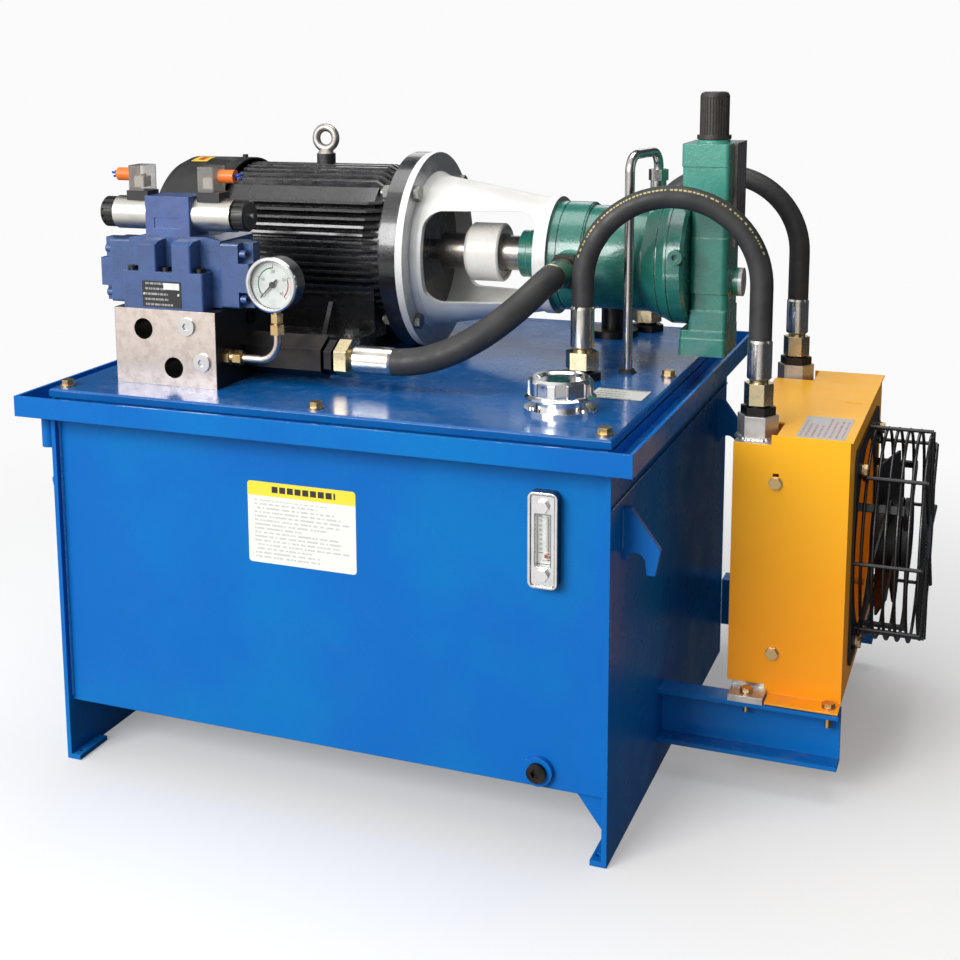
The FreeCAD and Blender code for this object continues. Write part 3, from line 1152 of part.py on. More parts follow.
def gauge_tube():
    """Bent tube that carries the gauge, with its unions."""
    y, z = "gauge_port_y", "gauge_port_z"
    radius, bend = "gauge_tube_radius", "gauge_tube_bend"
    stem_low = "gauge_z - gauge_radius"
    parts = [rod("x", (y, z), ("block_right - 12", "block_right + 1"), "7"),
             hexagon("x", (y, z), ("block_right", "block_right + 8"), "17"),
             rod("x", (y, z), ("block_right + 8", "block_right + 14"), "7"),
             hexagon("x", (y, z), ("block_right + 13", "block_right + 24"), "16"),
             rod("x", (y, z), ("block_right + 20", f"gauge_x - {bend}"), radius),
             elbow(("gauge_x", y, z), RIGHT, UP, bend, radius),
             rod("z", ("gauge_x", y), (f"{z} + {bend}", stem_low), radius),
             hexagon("z", ("gauge_x", y), ("gauge_z - 61", "gauge_z - 49"), "16"),
             hexagon("z", ("gauge_x", y), ("gauge_z - 47", "gauge_z - 36"), "14"),
             rod("z", ("gauge_x", y), ("gauge_z - 49", stem_low), "4.5")]
    tube = fuse(*parts)
    case_room = rod("y", GAUGE, ("gauge_face_y - 1", "gauge_back_y + 1"), "gauge_radius + 0.05")
    return cut(tube, case_room)


# ---- pressure and cooler lines -----------------------------------------------------------------------------

CHECK = ("check_y", "check_z")
LOOP_BASES = [("base_x", "front_base_y"), ("base_x", "rear_base_y")]
COOLER_PORTS = [("cooler_port_x", "front_port_y"), ("cooler_port_x", "rear_port_y")]


def check_valve():
    """Check valve in a hexagonal bar, with its outlet adaptor."""
    parts = [rod("x", CHECK, ("check_start - 14", "check_start + 1"), "12"),
             hexagon("x", CHECK, ("check_start", "check_end"), "check_hex"),
             rod("x", CHECK, ("check_end", "check_end + 3"), "15"),
             hexagon("x", CHECK, ("check_end + 2", "check_end + 12"), "38"),
             rod("x", CHECK, ("check_end + 11", "check_end + 16"), "13")]
    return cut(fuse(*parts), rod("x", CHECK, ("check_start - 15", "check_end + 17"), "8"))


def pressure_hose():
    """High-pressure hose from the check valve's side up to the pump's outlet, as a free curve."""
    start = Vector(value("check_end + 87"), value("check_y"), value("check_z"))
    end = Vector(value("port_x"), value("port_face - 79"), value("port_z"))
    curve = Part.BezierCurve()
    curve.setPoles([start, start + RIGHT * 100, end + FORWARD * 45, end])
    spine = Part.Wire([curve.toShape()])
    circle = Part.Circle(start, RIGHT, value("hose_radius"))
    hose = doc.addObject("Part::Feature", "hose")
    hose.Shape = spine.makePipeShell([Part.Wire([circle.toShape()])], True, False)
    return hose


def cooler_hose(base, port):
    """A cooler hose: up from the cover, over in a half circle and down to the cooler's port."""
    radius = "cooler_hose_radius"
    run = [f"{port[0]} - {base[0]}", f"{port[1]} - {base[1]}"]
    bend = f"sqrt(({run[0]}) ^ 2 + ({run[1]}) ^ 2) / 2"
    crown = f"loop_top - {bend}"
    arch = doc.addObject("Part::Torus", "arch")
    arch.setExpression("Radius1", bound(bend))
    arch.setExpression("Radius2", bound(radius))
    arch.Angle3 = 180
    back = Vector(-value(run[0]), -value(run[1]), 0)
    arch.Placement = Placement(Vector(), Rotation(back, UP, back.cross(UP), "XYZ"))
    middle = [f"({base[0]} + {port[0]}) / 2", f"({base[1]} + {port[1]}) / 2", crown]
    for letter, text in zip("xyz", middle):
        arch.setExpression(f".Placement.Base.{letter}", bound(text))
    return fuse(rod("z", base, ("cover_top + 91", crown), radius), arch,
                rod("z", port, ("core_top + 118", crown), radius))


def hoses():
    """The pressure hose and the two cooler hoses."""
    loops = [cooler_hose(base, port) for base, port in zip(LOOP_BASES, COOLER_PORTS)]
    return gather(pressure_hose(), *loops)


def hose_ferrules():
    """Crimped ferrules at the hose ends."""
    solids = [ferrule("x", CHECK, ("check_end + 35", "check_end + 87"), "ferrule_radius"),
              ferrule("y", PORT, ("port_face - 79", "port_face - 23"), "ferrule_radius")]
    solids += [ferrule("z", base, ("cover_top + 38", "cover_top + 91"), "cooler_ferrule_radius")
               for base in LOOP_BASES]
    solids += [ferrule("z", port, ("core_top + 69", "core_top + 118"), "cooler_ferrule_radius")
               for port in COOLER_PORTS]
    return gather(*solids)


def ferrule(axis, centre, span, radius):
    """A crimped sleeve with a slight step at its ends."""
    low, high = span
    return turned(axis, centre, [(low, "0"), (low, f"{radius} - 3"), (f"{low} + 3", radius),
                                 (f"{high} - 3", radius), (high, f"{radius} - 1.5"), (high, "0")])


def hose_nuts():
    """Union nuts, zinc plated."""
    solids = [fuse(hexagon("x", CHECK, ("check_end + 16", "check_end + 32"), "41"),
                   rod("x", CHECK, ("check_end + 32", "check_end + 35"), "13"))]
    for base in LOOP_BASES:
        solids.append(fuse(hexagon("z", base, ("cover_top + 14", "cover_top + 35"), "36"),
                           rod("z", base, ("cover_top + 35", "cover_top + 38"), "11")))
    for port in COOLER_PORTS:
        solids.append(fuse(hexagon("z", port, ("core_top + 40", "core_top + 66"), "30"),
                           rod("z", port, ("core_top + 66", "core_top + 69"), "11")))
    return gather(*solids)


def hose_adaptors():
    """Blackened adaptors at the pump, on the cover and on the cooler."""
    solids = [fuse(hexagon("y", PORT, ("port_face - 23", "port_face - 5"), "41"),
                   rod("y", PORT, ("port_face - 5", "port_face"), "19"),
                   rod("y", PORT, ("port_face - 1", "port_face + 18"), "12"))]
    for base in LOOP_BASES:
        solids.append(fuse(hexagon("z", base, ("cover_top", "cover_top + 10"), "41"),
                           rod("z", base, ("cover_top + 9", "cover_top + 14"), "13"),
                           rod("z", base, ("cover_top - 30", "cover_top + 1"), "12")))
    for port in COOLER_PORTS:
        solids.append(fuse(hexagon("z", port, ("core_top + 28", "core_top + 38"), "36"),
                           rod("z", port, ("core_top + 37", "core_top + 40"), "13")))
    return gather(*solids)


# ---- cooler ------------------------------------------------------------------------------------------------

SHROUD_Y = ("shroud_front", "shroud_back")


def cooler_core():
    """Plate-and-fin aluminium core with its header, two hexagonal ports and foot lugs."""
    inside_y = ("shroud_front + shroud_sheet", "shroud_back - shroud_sheet")
    x = ("core_left", "core_right")
    parts = [block(x, inside_y, ("shroud_bottom + 12", "core_top"))]
    passages = [block(("core_left - 1", "core_right + 1"),
                      ("shroud_front + 30", "shroud_back - 30"), about(f"{level}", "7"))
                for level in range(150, 400, 26)]
    ports = [hexagon("z", port, ("core_top - 1", "core_top + 28"), "42") for port in COOLER_PORTS]
    feet = []
    for y in (("shroud_front - lug_reach", "shroud_front"), ("shroud_back", "shroud_back + lug_reach")):
        feet.append(block(("lug_left", "core_right + 3"), y, ("beam_top", "beam_top + lug_sheet")))
    for y in (("shroud_front - 1", "shroud_front + 12"), ("shroud_back - 12", "shroud_back + 1")):
        feet.append(block(("lug_left", "core_right"), y, ("beam_top", "beam_top + lug_sheet")))
    for y in (("shroud_front + shroud_sheet", "shroud_front + 12"),
              ("shroud_back - 12", "shroud_back - shroud_sheet")):
        feet.append(block(("lug_left", "core_right"), y, ("beam_top", "shroud_bottom + 14")))
    holes = [rod("z", ("lug_bolt_x", y), ("beam_top - 1", "beam_top + lug_sheet + 1"), "4.5")
             for y in ("shroud_front - 15.5", "shroud_back + 15.5")]
    return cut(fuse(cut(parts[0], *passages), *ports, *feet), *holes)


def cooler_shroud():
    """Folded steel shroud around the core and the fan, stepped down over the header."""
    sheet_metal = "shroud_sheet"
    right = ("shroud_right - shroud_sheet", "shroud_right")
    step = "core_right"
    lid = ("shroud_top - shroud_sheet", "shroud_top")
    parts = [block(("cooler_port_x + 28", "shroud_right + 3"), SHROUD_Y, lid),
             block(("core_left", "shroud_right"), ("front_port_y + 30", "rear_port_y - 30"), lid),
             block(right, SHROUD_Y, ("shroud_bottom", "shroud_top")),
             block((step, "shroud_right"), SHROUD_Y, ("shroud_bottom", f"shroud_bottom + {sheet_metal}"))]
    for y in (("shroud_front", f"shroud_front + {sheet_metal}"), (f"shroud_back - {sheet_metal}",
                                                                  "shroud_back")):
        parts.append(block((step, "shroud_right"), y, ("shroud_bottom", "shroud_top")))
        parts.append(block(("core_left", step), y, ("shroud_bottom + 12", "core_top")))
    for y in (("shroud_front - 30", "shroud_front + 1"), ("shroud_back - 1", "shroud_back + 30")):
        parts.append(block(("477", "shroud_right"), y, ("shroud_bottom", f"shroud_bottom + {sheet_metal}")))
    holes = [rod("x", ("fan_y", "fan_z"), ("shroud_right - 10", "shroud_right + 1"), "fan_opening")]
    wall = ("shroud_front - 1", "shroud_front + 3")
    for x, z, slot_top in (("core_right + 6", "upper_bolt_z", "11"), ("core_right + 8", "lower_bolt_z", "7")):
        holes.append(block(about(x, "3.5"), wall, (z, f"{z} + {slot_top}")))
        holes.append(rod("y", (x, z), wall, "4.2"))
    for y in ("shroud_front - 15.5", "shroud_back + 15.5"):
        holes.append(rod("z", ("lip_bolt_x", y), ("shroud_bottom - 1", "shroud_bottom + 5"), "4.5"))
    holes += guard_bolt_holes(("shroud_right - 5", "shroud_right + 1"))
    slit = block(("532", "553"), ("137", "140"), ("shroud_top - shroud_sheet - 1", "shroud_top + 1"))
    holes.append(slit)
    return cut(fuse(*parts), *holes)


FAN = ("fan_y", "fan_z")


def guard_bolt_holes(span):
    """Clearance holes for the guard's four bolts."""
    return [rod("x", (f"fan_y + {side} * guard_bolt", f"fan_z + {end} * guard_bolt"), span, "4.5")
            for side in (-1, 1) for end in (-1, 1)]


def fan_motor():
    """Stationary core of the external-rotor fan motor, on three arms from its square plate."""
    start, sheet_metal = "shroud_right", "fan_sheet"
    outline = rectangle(about("fan_y", "fan_plate"), about("fan_z", "fan_plate"))
    square = soften(plate("YZ", outline, (start, f"{start} + {sheet_metal}")), "18", parallel("x"))
    opening = rod("x", FAN, (f"{start} - 1", f"{start} + {sheet_metal} + 1"), "fan_opening")
    arm = block((f"{start} + 52", f"{start} + 56"), about("0", "6"), ("40", "fan_opening + 8"))
    post = block((start, f"{start} + 55"), about("0", "5"), ("fan_opening + 4", "fan_opening + 8"))
    return fuse(cut(square, opening, *guard_bolt_holes((f"{start} - 1", f"{start} + {sheet_metal} + 1"))),
                rod("x", FAN, (f"{start} + 50", f"{start} + 58"), "46"),
                rod("x", FAN, (f"{start} + 34", f"{start} + 51"), "22"),
                *around_x(arm, FAN, 3, 60), *around_x(post, FAN, 3, 60))


def cooler_fan():
    """Rotor bell with its five pitched blades."""
    low, high = "shroud_right + 12", "shroud_right + 48"
    body = turned("x", FAN, [(low, "0"), (low, "42"), (f"{low} + 4", "46"), (high, "46"), (high, "24"),
                             ("shroud_right + 30", "24"), ("shroud_right + 30", "0")])
    blade = body.newObject("PartDesign::AdditiveLoft", "Blade")
    root = outline_sketch(body, "XY", [("shroud_right + 16", "-26"), ("shroud_right + 19", "-26"),
                                       ("shroud_right + 43", "26"), ("shroud_right + 40", "26")], "35")
    tip = outline_sketch(body, "XY", [("shroud_right + 20", "-38"), ("shroud_right + 23", "-38"),
                                      ("shroud_right + 39", "38"), ("shroud_right + 36", "38")],
                         "fan_opening - 20")
    blade.Profile = root
    blade.Sections = [tip]
    return repeat_round(body, blade, "X", "5")


def fan_guard():
    """Welded wire basket over the fan: rings, long wires outside them, and spokes across the front."""
    wire, radius = "guard_wire", "guard_radius"
    start, front = "shroud_right + fan_sheet", "guard_reach - 3"
    rings = [ring("x", FAN, f"{start} + 8 + {number} * 13", radius, wire) for number in range(5)]
    rings += [ring("x", FAN, front, f"{radius} - 5 - {number} * 16", wire) for number in range(6)]
    side = rod("x", ("0", f"{radius} + 3"), (start, f"{front} + 3"), f"{wire} + 0.4")
    spoke = rod("z", (f"{front} + 3", "0"), ("30", f"{radius} + 3"), f"{wire} + 0.4")
    foot = pipe("x", ("0", "guard_bolt * sqrt(2)"), (start, f"{start} + guard_foot"), "10", "4.5")
    stay = rod("z", (f"{start} + 5", "0"), (f"{radius} - 2", "guard_bolt * sqrt(2) - 8.2"), "2.6")
    return fuse(*rings, rod("x", FAN, (f"{front} + 1", f"{front} + 4"), "34"),
                *around_x(side, FAN, 8), *around_x(spoke, FAN, 8), *around_x(foot, FAN, 4, 45),
                *around_x(stay, FAN, 4, 45))


def cooler_beams():
    """Two channels that stand out of the tank's side and carry the cooler."""
    x = ("beam_start", "beam_end")
    z = ("beam_top - beam_height", "beam_top")
    beams = []
    for web, sign in (("beam_web_y", -1), ("rear_beam_web_y", 1)):
        def y(low, high, web=web, sign=sign):
            return (f"{web} - ({high})", f"{web} - ({low})") if sign < 0 else (f"{web} + {low}",
                                                                               f"{web} + {high}")
        web_plate = block(x, y("0", "beam_sheet"), z)
        top = block(x, y("0", "beam_flange"), ("beam_top - beam_sheet", "beam_top"))
        foot = block(x, y("0", "beam_flange"), ("beam_top - beam_height",
                                                "beam_top - beam_height + beam_sheet"))
        bolt_y = "shroud_front - 15.5" if sign < 0 else "shroud_back + 15.5"
        bolt_holes = [rod("z", (bolt_x, bolt_y), ("beam_top - 10", "beam_top + 1"), "5")
                      for bolt_x in ("lug_bolt_x", "lip_bolt_x")]
        beams.append(cut(fuse(web_plate, top, foot), *bolt_holes))
    return gather(*beams)


# ---- the assembly ------------------------------------------------------------------------------------------

SUBPARTS = [
    tank_shell, drip_gutter, drain_plug, rubber_seals, cover_plate, hex_bolts, level_gauge_body,
    level_gauge_lens, filler_neck, filler_basket, filler_cap, breather_element, suction_pipe,
    suction_strainer, motor_frame, motor_end_shields, bearings, stator_core, rotor_shaft, motor_fan,
    fan_cowl, eyebolt, drive_bolts, bell_housing, coupling_hubs, coupling_sleeve, pump_housing,
    pump_control_head, pump_adjust_cap, pump_shaft, cylinder_block, swash_plate, case_drain_tube,
    manifold_block, port_plugs, main_valve_body, main_valve_caps, main_spool, pilot_valve_body,
    pilot_spool, solenoids, solenoid_nuts, override_pin_left, override_pin_right, solenoid_connectors,
    gauge_case, gauge_lens, gauge_needle, gauge_tube, check_valve, hoses, hose_ferrules, hose_nuts,
    hose_adaptors, cooler_core, cooler_shroud, fan_motor, cooler_fan, fan_guard, cooler_beams,
]

pieces = []
for build in SUBPARTS:
    piece = build()
    piece.Label = build.__name__
    pieces.append(piece)
doc.recompute()

failed = [item.Label for item in doc.Objects if {"Invalid", "Error"} & set(item.State)]
if failed:
    raise RuntimeError("failed to compute: " + ", ".join(failed))
for piece in pieces:
    if piece.Shape.isNull() or not piece.Shape.isValid() or not piece.Shape.Solids:
        raise RuntimeError("no valid solid: " + piece.Label)

os.makedirs("parts", exist_ok=True)
for piece in pieces:
    piece.Shape.exportStep(f"parts/{piece.Label}.step")
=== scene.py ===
"""Looks for the hydraulic power unit: finishes for the CAD parts, printed and welded details, a studio."""
import math
import random

import bpy
from mathutils import Matrix, Vector


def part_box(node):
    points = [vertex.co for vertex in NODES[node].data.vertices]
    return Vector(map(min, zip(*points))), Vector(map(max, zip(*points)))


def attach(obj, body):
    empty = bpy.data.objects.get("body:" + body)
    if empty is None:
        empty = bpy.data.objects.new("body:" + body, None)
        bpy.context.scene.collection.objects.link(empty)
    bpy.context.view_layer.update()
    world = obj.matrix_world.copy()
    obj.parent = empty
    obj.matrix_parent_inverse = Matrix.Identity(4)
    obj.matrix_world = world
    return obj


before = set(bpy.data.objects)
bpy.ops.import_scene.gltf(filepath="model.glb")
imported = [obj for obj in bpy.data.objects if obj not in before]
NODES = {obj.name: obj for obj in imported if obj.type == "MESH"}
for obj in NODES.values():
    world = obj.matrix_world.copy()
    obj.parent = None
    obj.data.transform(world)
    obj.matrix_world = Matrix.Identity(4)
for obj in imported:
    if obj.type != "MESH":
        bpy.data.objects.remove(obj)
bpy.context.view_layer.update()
MM = 0.001


# ---- a procedural finish

class Finish:
    """One node material, with short ways to add what the finishes are made of. Sizes are in mm."""

    def __init__(self, name):
        self.material = bpy.data.materials.new(name)
        self.material.use_nodes = True
        self.tree = self.material.node_tree
        self.surface = self.tree.nodes["Principled BSDF"]
        self.texture_space = self.add("ShaderNodeTexCoord")
        self.place = self.texture_space.outputs["Object"]
        self.normal = None

    def add(self, kind, inputs=None, **settings):
        node = self.tree.nodes.new(kind)
        for key, setting in settings.items():
            setattr(node, key, setting)
        for key, number in (inputs or {}).items():
            self.feed(node.inputs[key], number)
        return node

    def feed(self, socket, source):
        """Links a socket to a socket, or sets it to a number or a colour."""
        if isinstance(source, bpy.types.NodeSocket):
            self.tree.links.new(source, socket)
        elif isinstance(source, (tuple, list)) and len(source) == 3 and socket.type == "RGBA":
            socket.default_value = (*source, 1)
        else:
            socket.default_value = source

    def set(self, **inputs):
        """Principled inputs by name, with _ for each space."""
        for key, source in inputs.items():
            self.feed(self.surface.inputs[key.replace("_", " ")], source)
        return self

    def stretched(self, stretch):
        if stretch == (1, 1, 1):
            return self.place
        return self.add("ShaderNodeMapping", {"Vector": self.place, "Scale": stretch}).outputs["Vector"]

    def noise(self, size, detail=3, stretch=(1, 1, 1), roughness=0.55):
        node = self.add("ShaderNodeTexNoise", {"Vector": self.stretched(stretch), "Scale": 1 / (size * MM),
                                               "Detail": detail, "Roughness": roughness})
        return node.outputs["Fac"]

    def cells(self, size, feature="F1"):
        node = self.add("ShaderNodeTexVoronoi", {"Vector": self.place, "Scale": 1 / (size * MM)},
                        feature=feature)
        return node.outputs["Distance"]

    def maths(self, operation, first, second=0.0):
        return self.add("ShaderNodeMath", {0: first, 1: second}, operation=operation).outputs[0]

    def ramp(self, source, low, high, start=0.0, end=1.0):
        """A smooth step of a value from low to high, given as start to end."""
        node = self.add("ShaderNodeMapRange", {"Value": source, "From Min": low, "From Max": high,
                                               "To Min": start, "To Max": end},
                        interpolation_type="SMOOTHSTEP")
        return node.outputs["Result"]

    def mix(self, factor, first, second):
        node = self.add("ShaderNodeMix", data_type="RGBA")
        for socket, source in ((node.inputs[0], factor), (node.inputs[6], first), (node.inputs[7], second)):
            self.feed(socket, source)
        return node.outputs[2]

    def along(self, axis, of="Object"):
        """One coordinate of the place, in metres, or of the surface's direction."""
        split = self.add("ShaderNodeSeparateXYZ", {"Vector": self.texture_space.outputs[of]})
        return split.outputs[axis]

    def beyond(self, axis, limit, sharp=0.4):
        """1 where a coordinate is past a limit, 0 before it."""
        return self.ramp(self.along(axis), (limit - sharp) * MM, (limit + sharp) * MM)

    def within(self, axis, low, high):
        return self.maths("MULTIPLY", self.beyond(axis, low),
                          self.maths("SUBTRACT", 1.0, self.beyond(axis, high)))

    def facing(self, axis, sign=1):
        """1 where the surface faces along an axis."""
        toward = self.maths("MULTIPLY", self.along(axis, "Normal"), float(sign))
        return self.ramp(toward, 0.90, 0.97)

    def round_edges(self, radius):
        """Rounds sharp edges for the light, and gives 1 on those edges."""
        bevel = self.add("ShaderNodeBevel", {"Radius": radius * MM}, samples=4)
        flat = self.add("ShaderNodeNewGeometry").outputs["Normal"]
        dot = self.add("ShaderNodeVectorMath", {0: bevel.outputs["Normal"], 1: flat}, operation="DOT_PRODUCT")
        self.normal = bevel.outputs["Normal"]
        return self.ramp(dot.outputs["Value"], 0.995, 0.90)

    def relief(self, height, depth):
        """Raises the surface by a height from 0 to 1 times a depth."""
        node = self.add("ShaderNodeBump", {"Height": height, "Distance": depth * MM, "Strength": 1.0})
        if self.normal:
            self.feed(node.inputs["Normal"], self.normal)
        self.normal = node.outputs["Normal"]

    def done(self):
        if self.normal:
            self.feed(self.surface.inputs["Normal"], self.normal)
        return self.material


def uneven(name, colour, roughness, second=None, patch=70, spread=0.10, grain=(), waves=(), edge=0.6,
           worn=None, wear=0.5, dust=0.0, **inputs):
    """A surface whose colour and gloss drift in patches, with grain, waves, worn edges and dust."""
    look = Finish(name)
    drift = look.noise(patch, 4)
    tone = look.mix(look.ramp(drift, 0.35, 0.65), colour, second or [0.82 * part for part in colour])
    gloss = look.ramp(look.noise(patch / 3, 5), 0.3, 0.7, max(roughness - spread, 0.03), roughness + spread)
    edges = look.round_edges(edge)
    if worn:
        chips = look.ramp(look.noise(4, 5), 0.62 - 0.25 * wear, 0.70 - 0.25 * wear)
        tone = look.mix(look.maths("MULTIPLY", edges, chips), tone, worn)
    if dust:
        settled = look.maths("MULTIPLY", look.facing(2), look.ramp(look.noise(25, 6), 0.45, 0.75, 0, dust))
        tone = look.mix(settled, tone, (0.35, 0.34, 0.32))
        gloss = look.maths("ADD", gloss, look.maths("MULTIPLY", settled, 0.5))
    for size, depth in waves:
        look.relief(look.noise(size, 1), depth)
    for size, depth in grain:
        look.relief(look.noise(size, 4, roughness=0.6), depth)
    look.set(Base_Color=tone, Roughness=gloss, **inputs)
    return look


def machined(name, colour, roughness, stretch=(1, 1, 1), line=0.5, depth=0.01, tint=None, patch=25, edge=0.5):
    """Bare or plated metal with fine tool marks along one direction and slight stains."""
    look = Finish(name)
    lines = look.noise(line, 3, stretch)
    stain = look.ramp(look.noise(patch, 5), 0.40, 0.70)
    tone = look.mix(stain, colour, tint or [0.8 * part for part in colour])
    edges = look.round_edges(edge)
    tone = look.mix(look.maths("MULTIPLY", edges, 0.35), tone, [min(1.2 * part + 0.05, 1) for part in colour])
    gloss = look.maths("ADD", look.ramp(lines, 0.3, 0.7, roughness - 0.06, roughness + 0.08),
                       look.maths("MULTIPLY", stain, 0.06))
    look.relief(lines, depth)
    look.set(Base_Color=tone, Roughness=gloss, Metallic=1.0)
    return look


def clear(name, tint, gloss=0.03, haze=0.0):
    """Thin clear material: mostly see-through, with a mirror sheen at a slant and a little haze."""
    look = Finish(name)
    look.relief(look.noise(12, 2), 0.01)
    through = look.add("ShaderNodeBsdfTransparent", {"Color": (*tint, 1)}).outputs[0]
    sheen = look.add("ShaderNodeBsdfGlossy", {"Roughness": gloss, "Normal": look.normal}).outputs[0]
    cloud = look.add("ShaderNodeBsdfTranslucent", {"Color": (*tint, 1)}).outputs[0]
    matt = look.add("ShaderNodeBsdfDiffuse", {"Color": (*tint, 1)}).outputs[0]
    body = look.add("ShaderNodeMixShader", {0: 0.5, 1: cloud, 2: matt}).outputs[0]
    milky = look.maths("MULTIPLY", look.ramp(look.noise(9, 3), 0.3, 0.7, 0.6, 1.0), haze)
    inside = look.add("ShaderNodeMixShader", {0: milky, 1: through, 2: body}).outputs[0]
    slant = look.add("ShaderNodeFresnel", {"IOR": 1.45}).outputs[0]
    out = look.add("ShaderNodeMixShader", {0: slant, 1: inside, 2: sheen}).outputs[0]
    look.feed(look.tree.nodes["Material Output"].inputs["Surface"], out)
    return look.material


# ---- the finishes

TANK_BLUE = (0.002, 0.165, 0.50)
PUMP_GREEN = (0.016, 0.165, 0.122)
PRIMER = (0.42, 0.46, 0.50)


def tank_paint():
    """Enamel over welded plate: faint orange peel, plates not quite flat, chips on the edges."""
    look = uneven("tank_paint", TANK_BLUE, 0.30, second=(0.003, 0.132, 0.48), patch=220, spread=0.07,
                  waves=[(190, 0.8), (60, 0.10)], grain=[(2.2, 0.030)], edge=1.2, worn=PRIMER, wear=0.03,
                  dust=0.12, Specular_IOR_Level=0.16)
    return look.done()


def cover_paint():
    """The same enamel on the cover, glossy enough to mirror what stands on it, in a darker copy of the tank's
    blue that is painted shade.
    """
    look = uneven("cover_paint", (0.003, 0.110, 0.36), 0.24, second=(0.004, 0.092, 0.32), patch=160,
                  spread=0.05, waves=[(120, 0.4)], grain=[(2.5, 0.012)], edge=1.0, worn=PRIMER, wear=0.1,
                  dust=0.10, Coat_Weight=0.22, Coat_Roughness=0.12)
    return look.done()


def motor_paint():
    """Thick black gloss over a rough sand casting."""
    look = uneven("motor_paint", (0.012, 0.012, 0.013), 0.22, second=(0.022, 0.022, 0.024), patch=40,
                  waves=[(16, 0.35)], grain=[(2.8, 0.46), (1.0, 0.14)], edge=1.0, worn=(0.10, 0.09, 0.085),
                  wear=0.6, dust=0.35, Coat_Weight=0.8, Coat_Roughness=0.10)
    return look.done()


def cowl_paint():
    """Satin black on the pressed sheet cowl."""
    look = uneven("cowl_paint", (0.014, 0.014, 0.015), 0.40, second=(0.02, 0.019, 0.018), patch=60,
                  waves=[(50, 0.25)], grain=[(1.6, 0.03)], edge=0.8, worn=(0.12, 0.11, 0.10), wear=0.5,
                  dust=0.25)
    return look.done()


def bell_paint():
    """Pale sprayed casting whose flange faces and rims are machined bare."""
    look = uneven("bell_paint", (0.80, 0.80, 0.77), 0.42, second=(0.70, 0.69, 0.66), patch=45,
                  waves=[(22, 0.2)], grain=[(2.2, 0.10)], edge=1.2, worn=(0.5, 0.5, 0.49), wear=0.7)
    faces = look.maths("MAXIMUM", look.facing(0), look.facing(0, -1))
    rings = look.noise(0.6, 2, (1, 0.25, 0.25))
    bare = look.mix(look.ramp(rings, 0.3, 0.7), (0.50, 0.50, 0.51), (0.62, 0.62, 0.62))
    tone = look.surface.inputs["Base Color"].links[0].from_socket
    look.set(Base_Color=look.mix(faces, tone, bare), Metallic=look.maths("MULTIPLY", faces, 0.85))
    return look.done()


def pump_paint():
    """Green enamel over a coarse casting."""
    look = uneven("pump_paint", PUMP_GREEN, 0.27, second=(0.012, 0.125, 0.092), patch=55,
                  waves=[(14, 0.25)], grain=[(3.4, 0.42), (1.2, 0.10)], edge=1.4, worn=(0.16, 0.36, 0.28),
                  wear=0.7, dust=0.15, Coat_Weight=0.6, Coat_Roughness=0.14)
    return look.done()


def head_paint():
    """The pump's enamel on its head, in a lighter copy of the pump's green that grows lighter towards the
    top, all painted light, with a brown name plate on the right.
    """
    look = uneven("head_paint", (0.026, 0.205, 0.155), 0.27, second=(0.016, 0.150, 0.112), patch=55,
                  waves=[(14, 0.25)], grain=[(3.4, 0.42), (1.2, 0.10)], edge=1.8, worn=(0.20, 0.44, 0.35),
                  wear=0.9, dust=0.15, Coat_Weight=0.6, Coat_Roughness=0.14)
    tone = look.surface.inputs["Base Color"].links[0].from_socket
    # Lighter towards the top: painted light, on top of the real edge wear.
    light = look.ramp(look.along(2), 0.62, 0.74, 0.0, 0.55)
    tone = look.mix(light, tone, (0.08, 0.40, 0.30))
    name_plate = look.maths("MULTIPLY", look.beyond(0, HEAD_RIGHT), look.beyond(2, PLATE_LOW_Z))
    tone = look.mix(name_plate, tone, (0.075, 0.058, 0.045))
    stud = look.maths("MULTIPLY", look.beyond(0, HEAD_RIGHT + 9), look.maths("SUBTRACT", 1.0,
                                                                          look.beyond(2, PLATE_LOW_Z)))
    look.set(Base_Color=look.mix(stud, tone, (0.45, 0.44, 0.42)))
    return look.done()


def valve_paint(name, colour, grain):
    """Dark blue paint over cast iron."""
    look = uneven(name, colour, 0.36, second=[0.8 * part for part in colour], patch=30, waves=[(18, 0.1)],
                  grain=grain, edge=1.0, worn=[1.9 * part + 0.03 for part in colour], wear=0.7, dust=0.2,
                  Coat_Weight=0.6, Coat_Roughness=0.14)
    return look.done()


def manifold_steel():
    """Ground steel in front; the other faces, of the same steel, get a near-black base colour that is a
    painted dark reflection.
    """
    look = machined("manifold_steel", (0.66, 0.58, 0.53), 0.34, (0.12, 1, 1), 0.45, 0.012,
                    tint=(0.52, 0.44, 0.39), patch=9)
    tone = look.surface.inputs["Base Color"].links[0].from_socket
    front = look.facing(1, -1)
    # Near black on every face but the front: painted dark reflection on the same ground steel.
    painted_dark_sides = look.mix(look.noise(30, 4), (0.022, 0.021, 0.022), (0.045, 0.042, 0.040))
    look.set(Base_Color=look.mix(front, painted_dark_sides, tone), Metallic=look.ramp(front, 0, 1, 0.7, 1.0))
    return look.done()


def port_plug_steel():
    """Bright zinc on the front plugs, near black on the one at the right."""
    look = machined("port_plug_steel", (0.72, 0.72, 0.71), 0.28, line=0.4)
    tone = look.surface.inputs["Base Color"].links[0].from_socket
    look.set(Base_Color=look.mix(look.beyond(0, BLOCK_RIGHT), tone, (0.02, 0.02, 0.021)))
    return look.done()


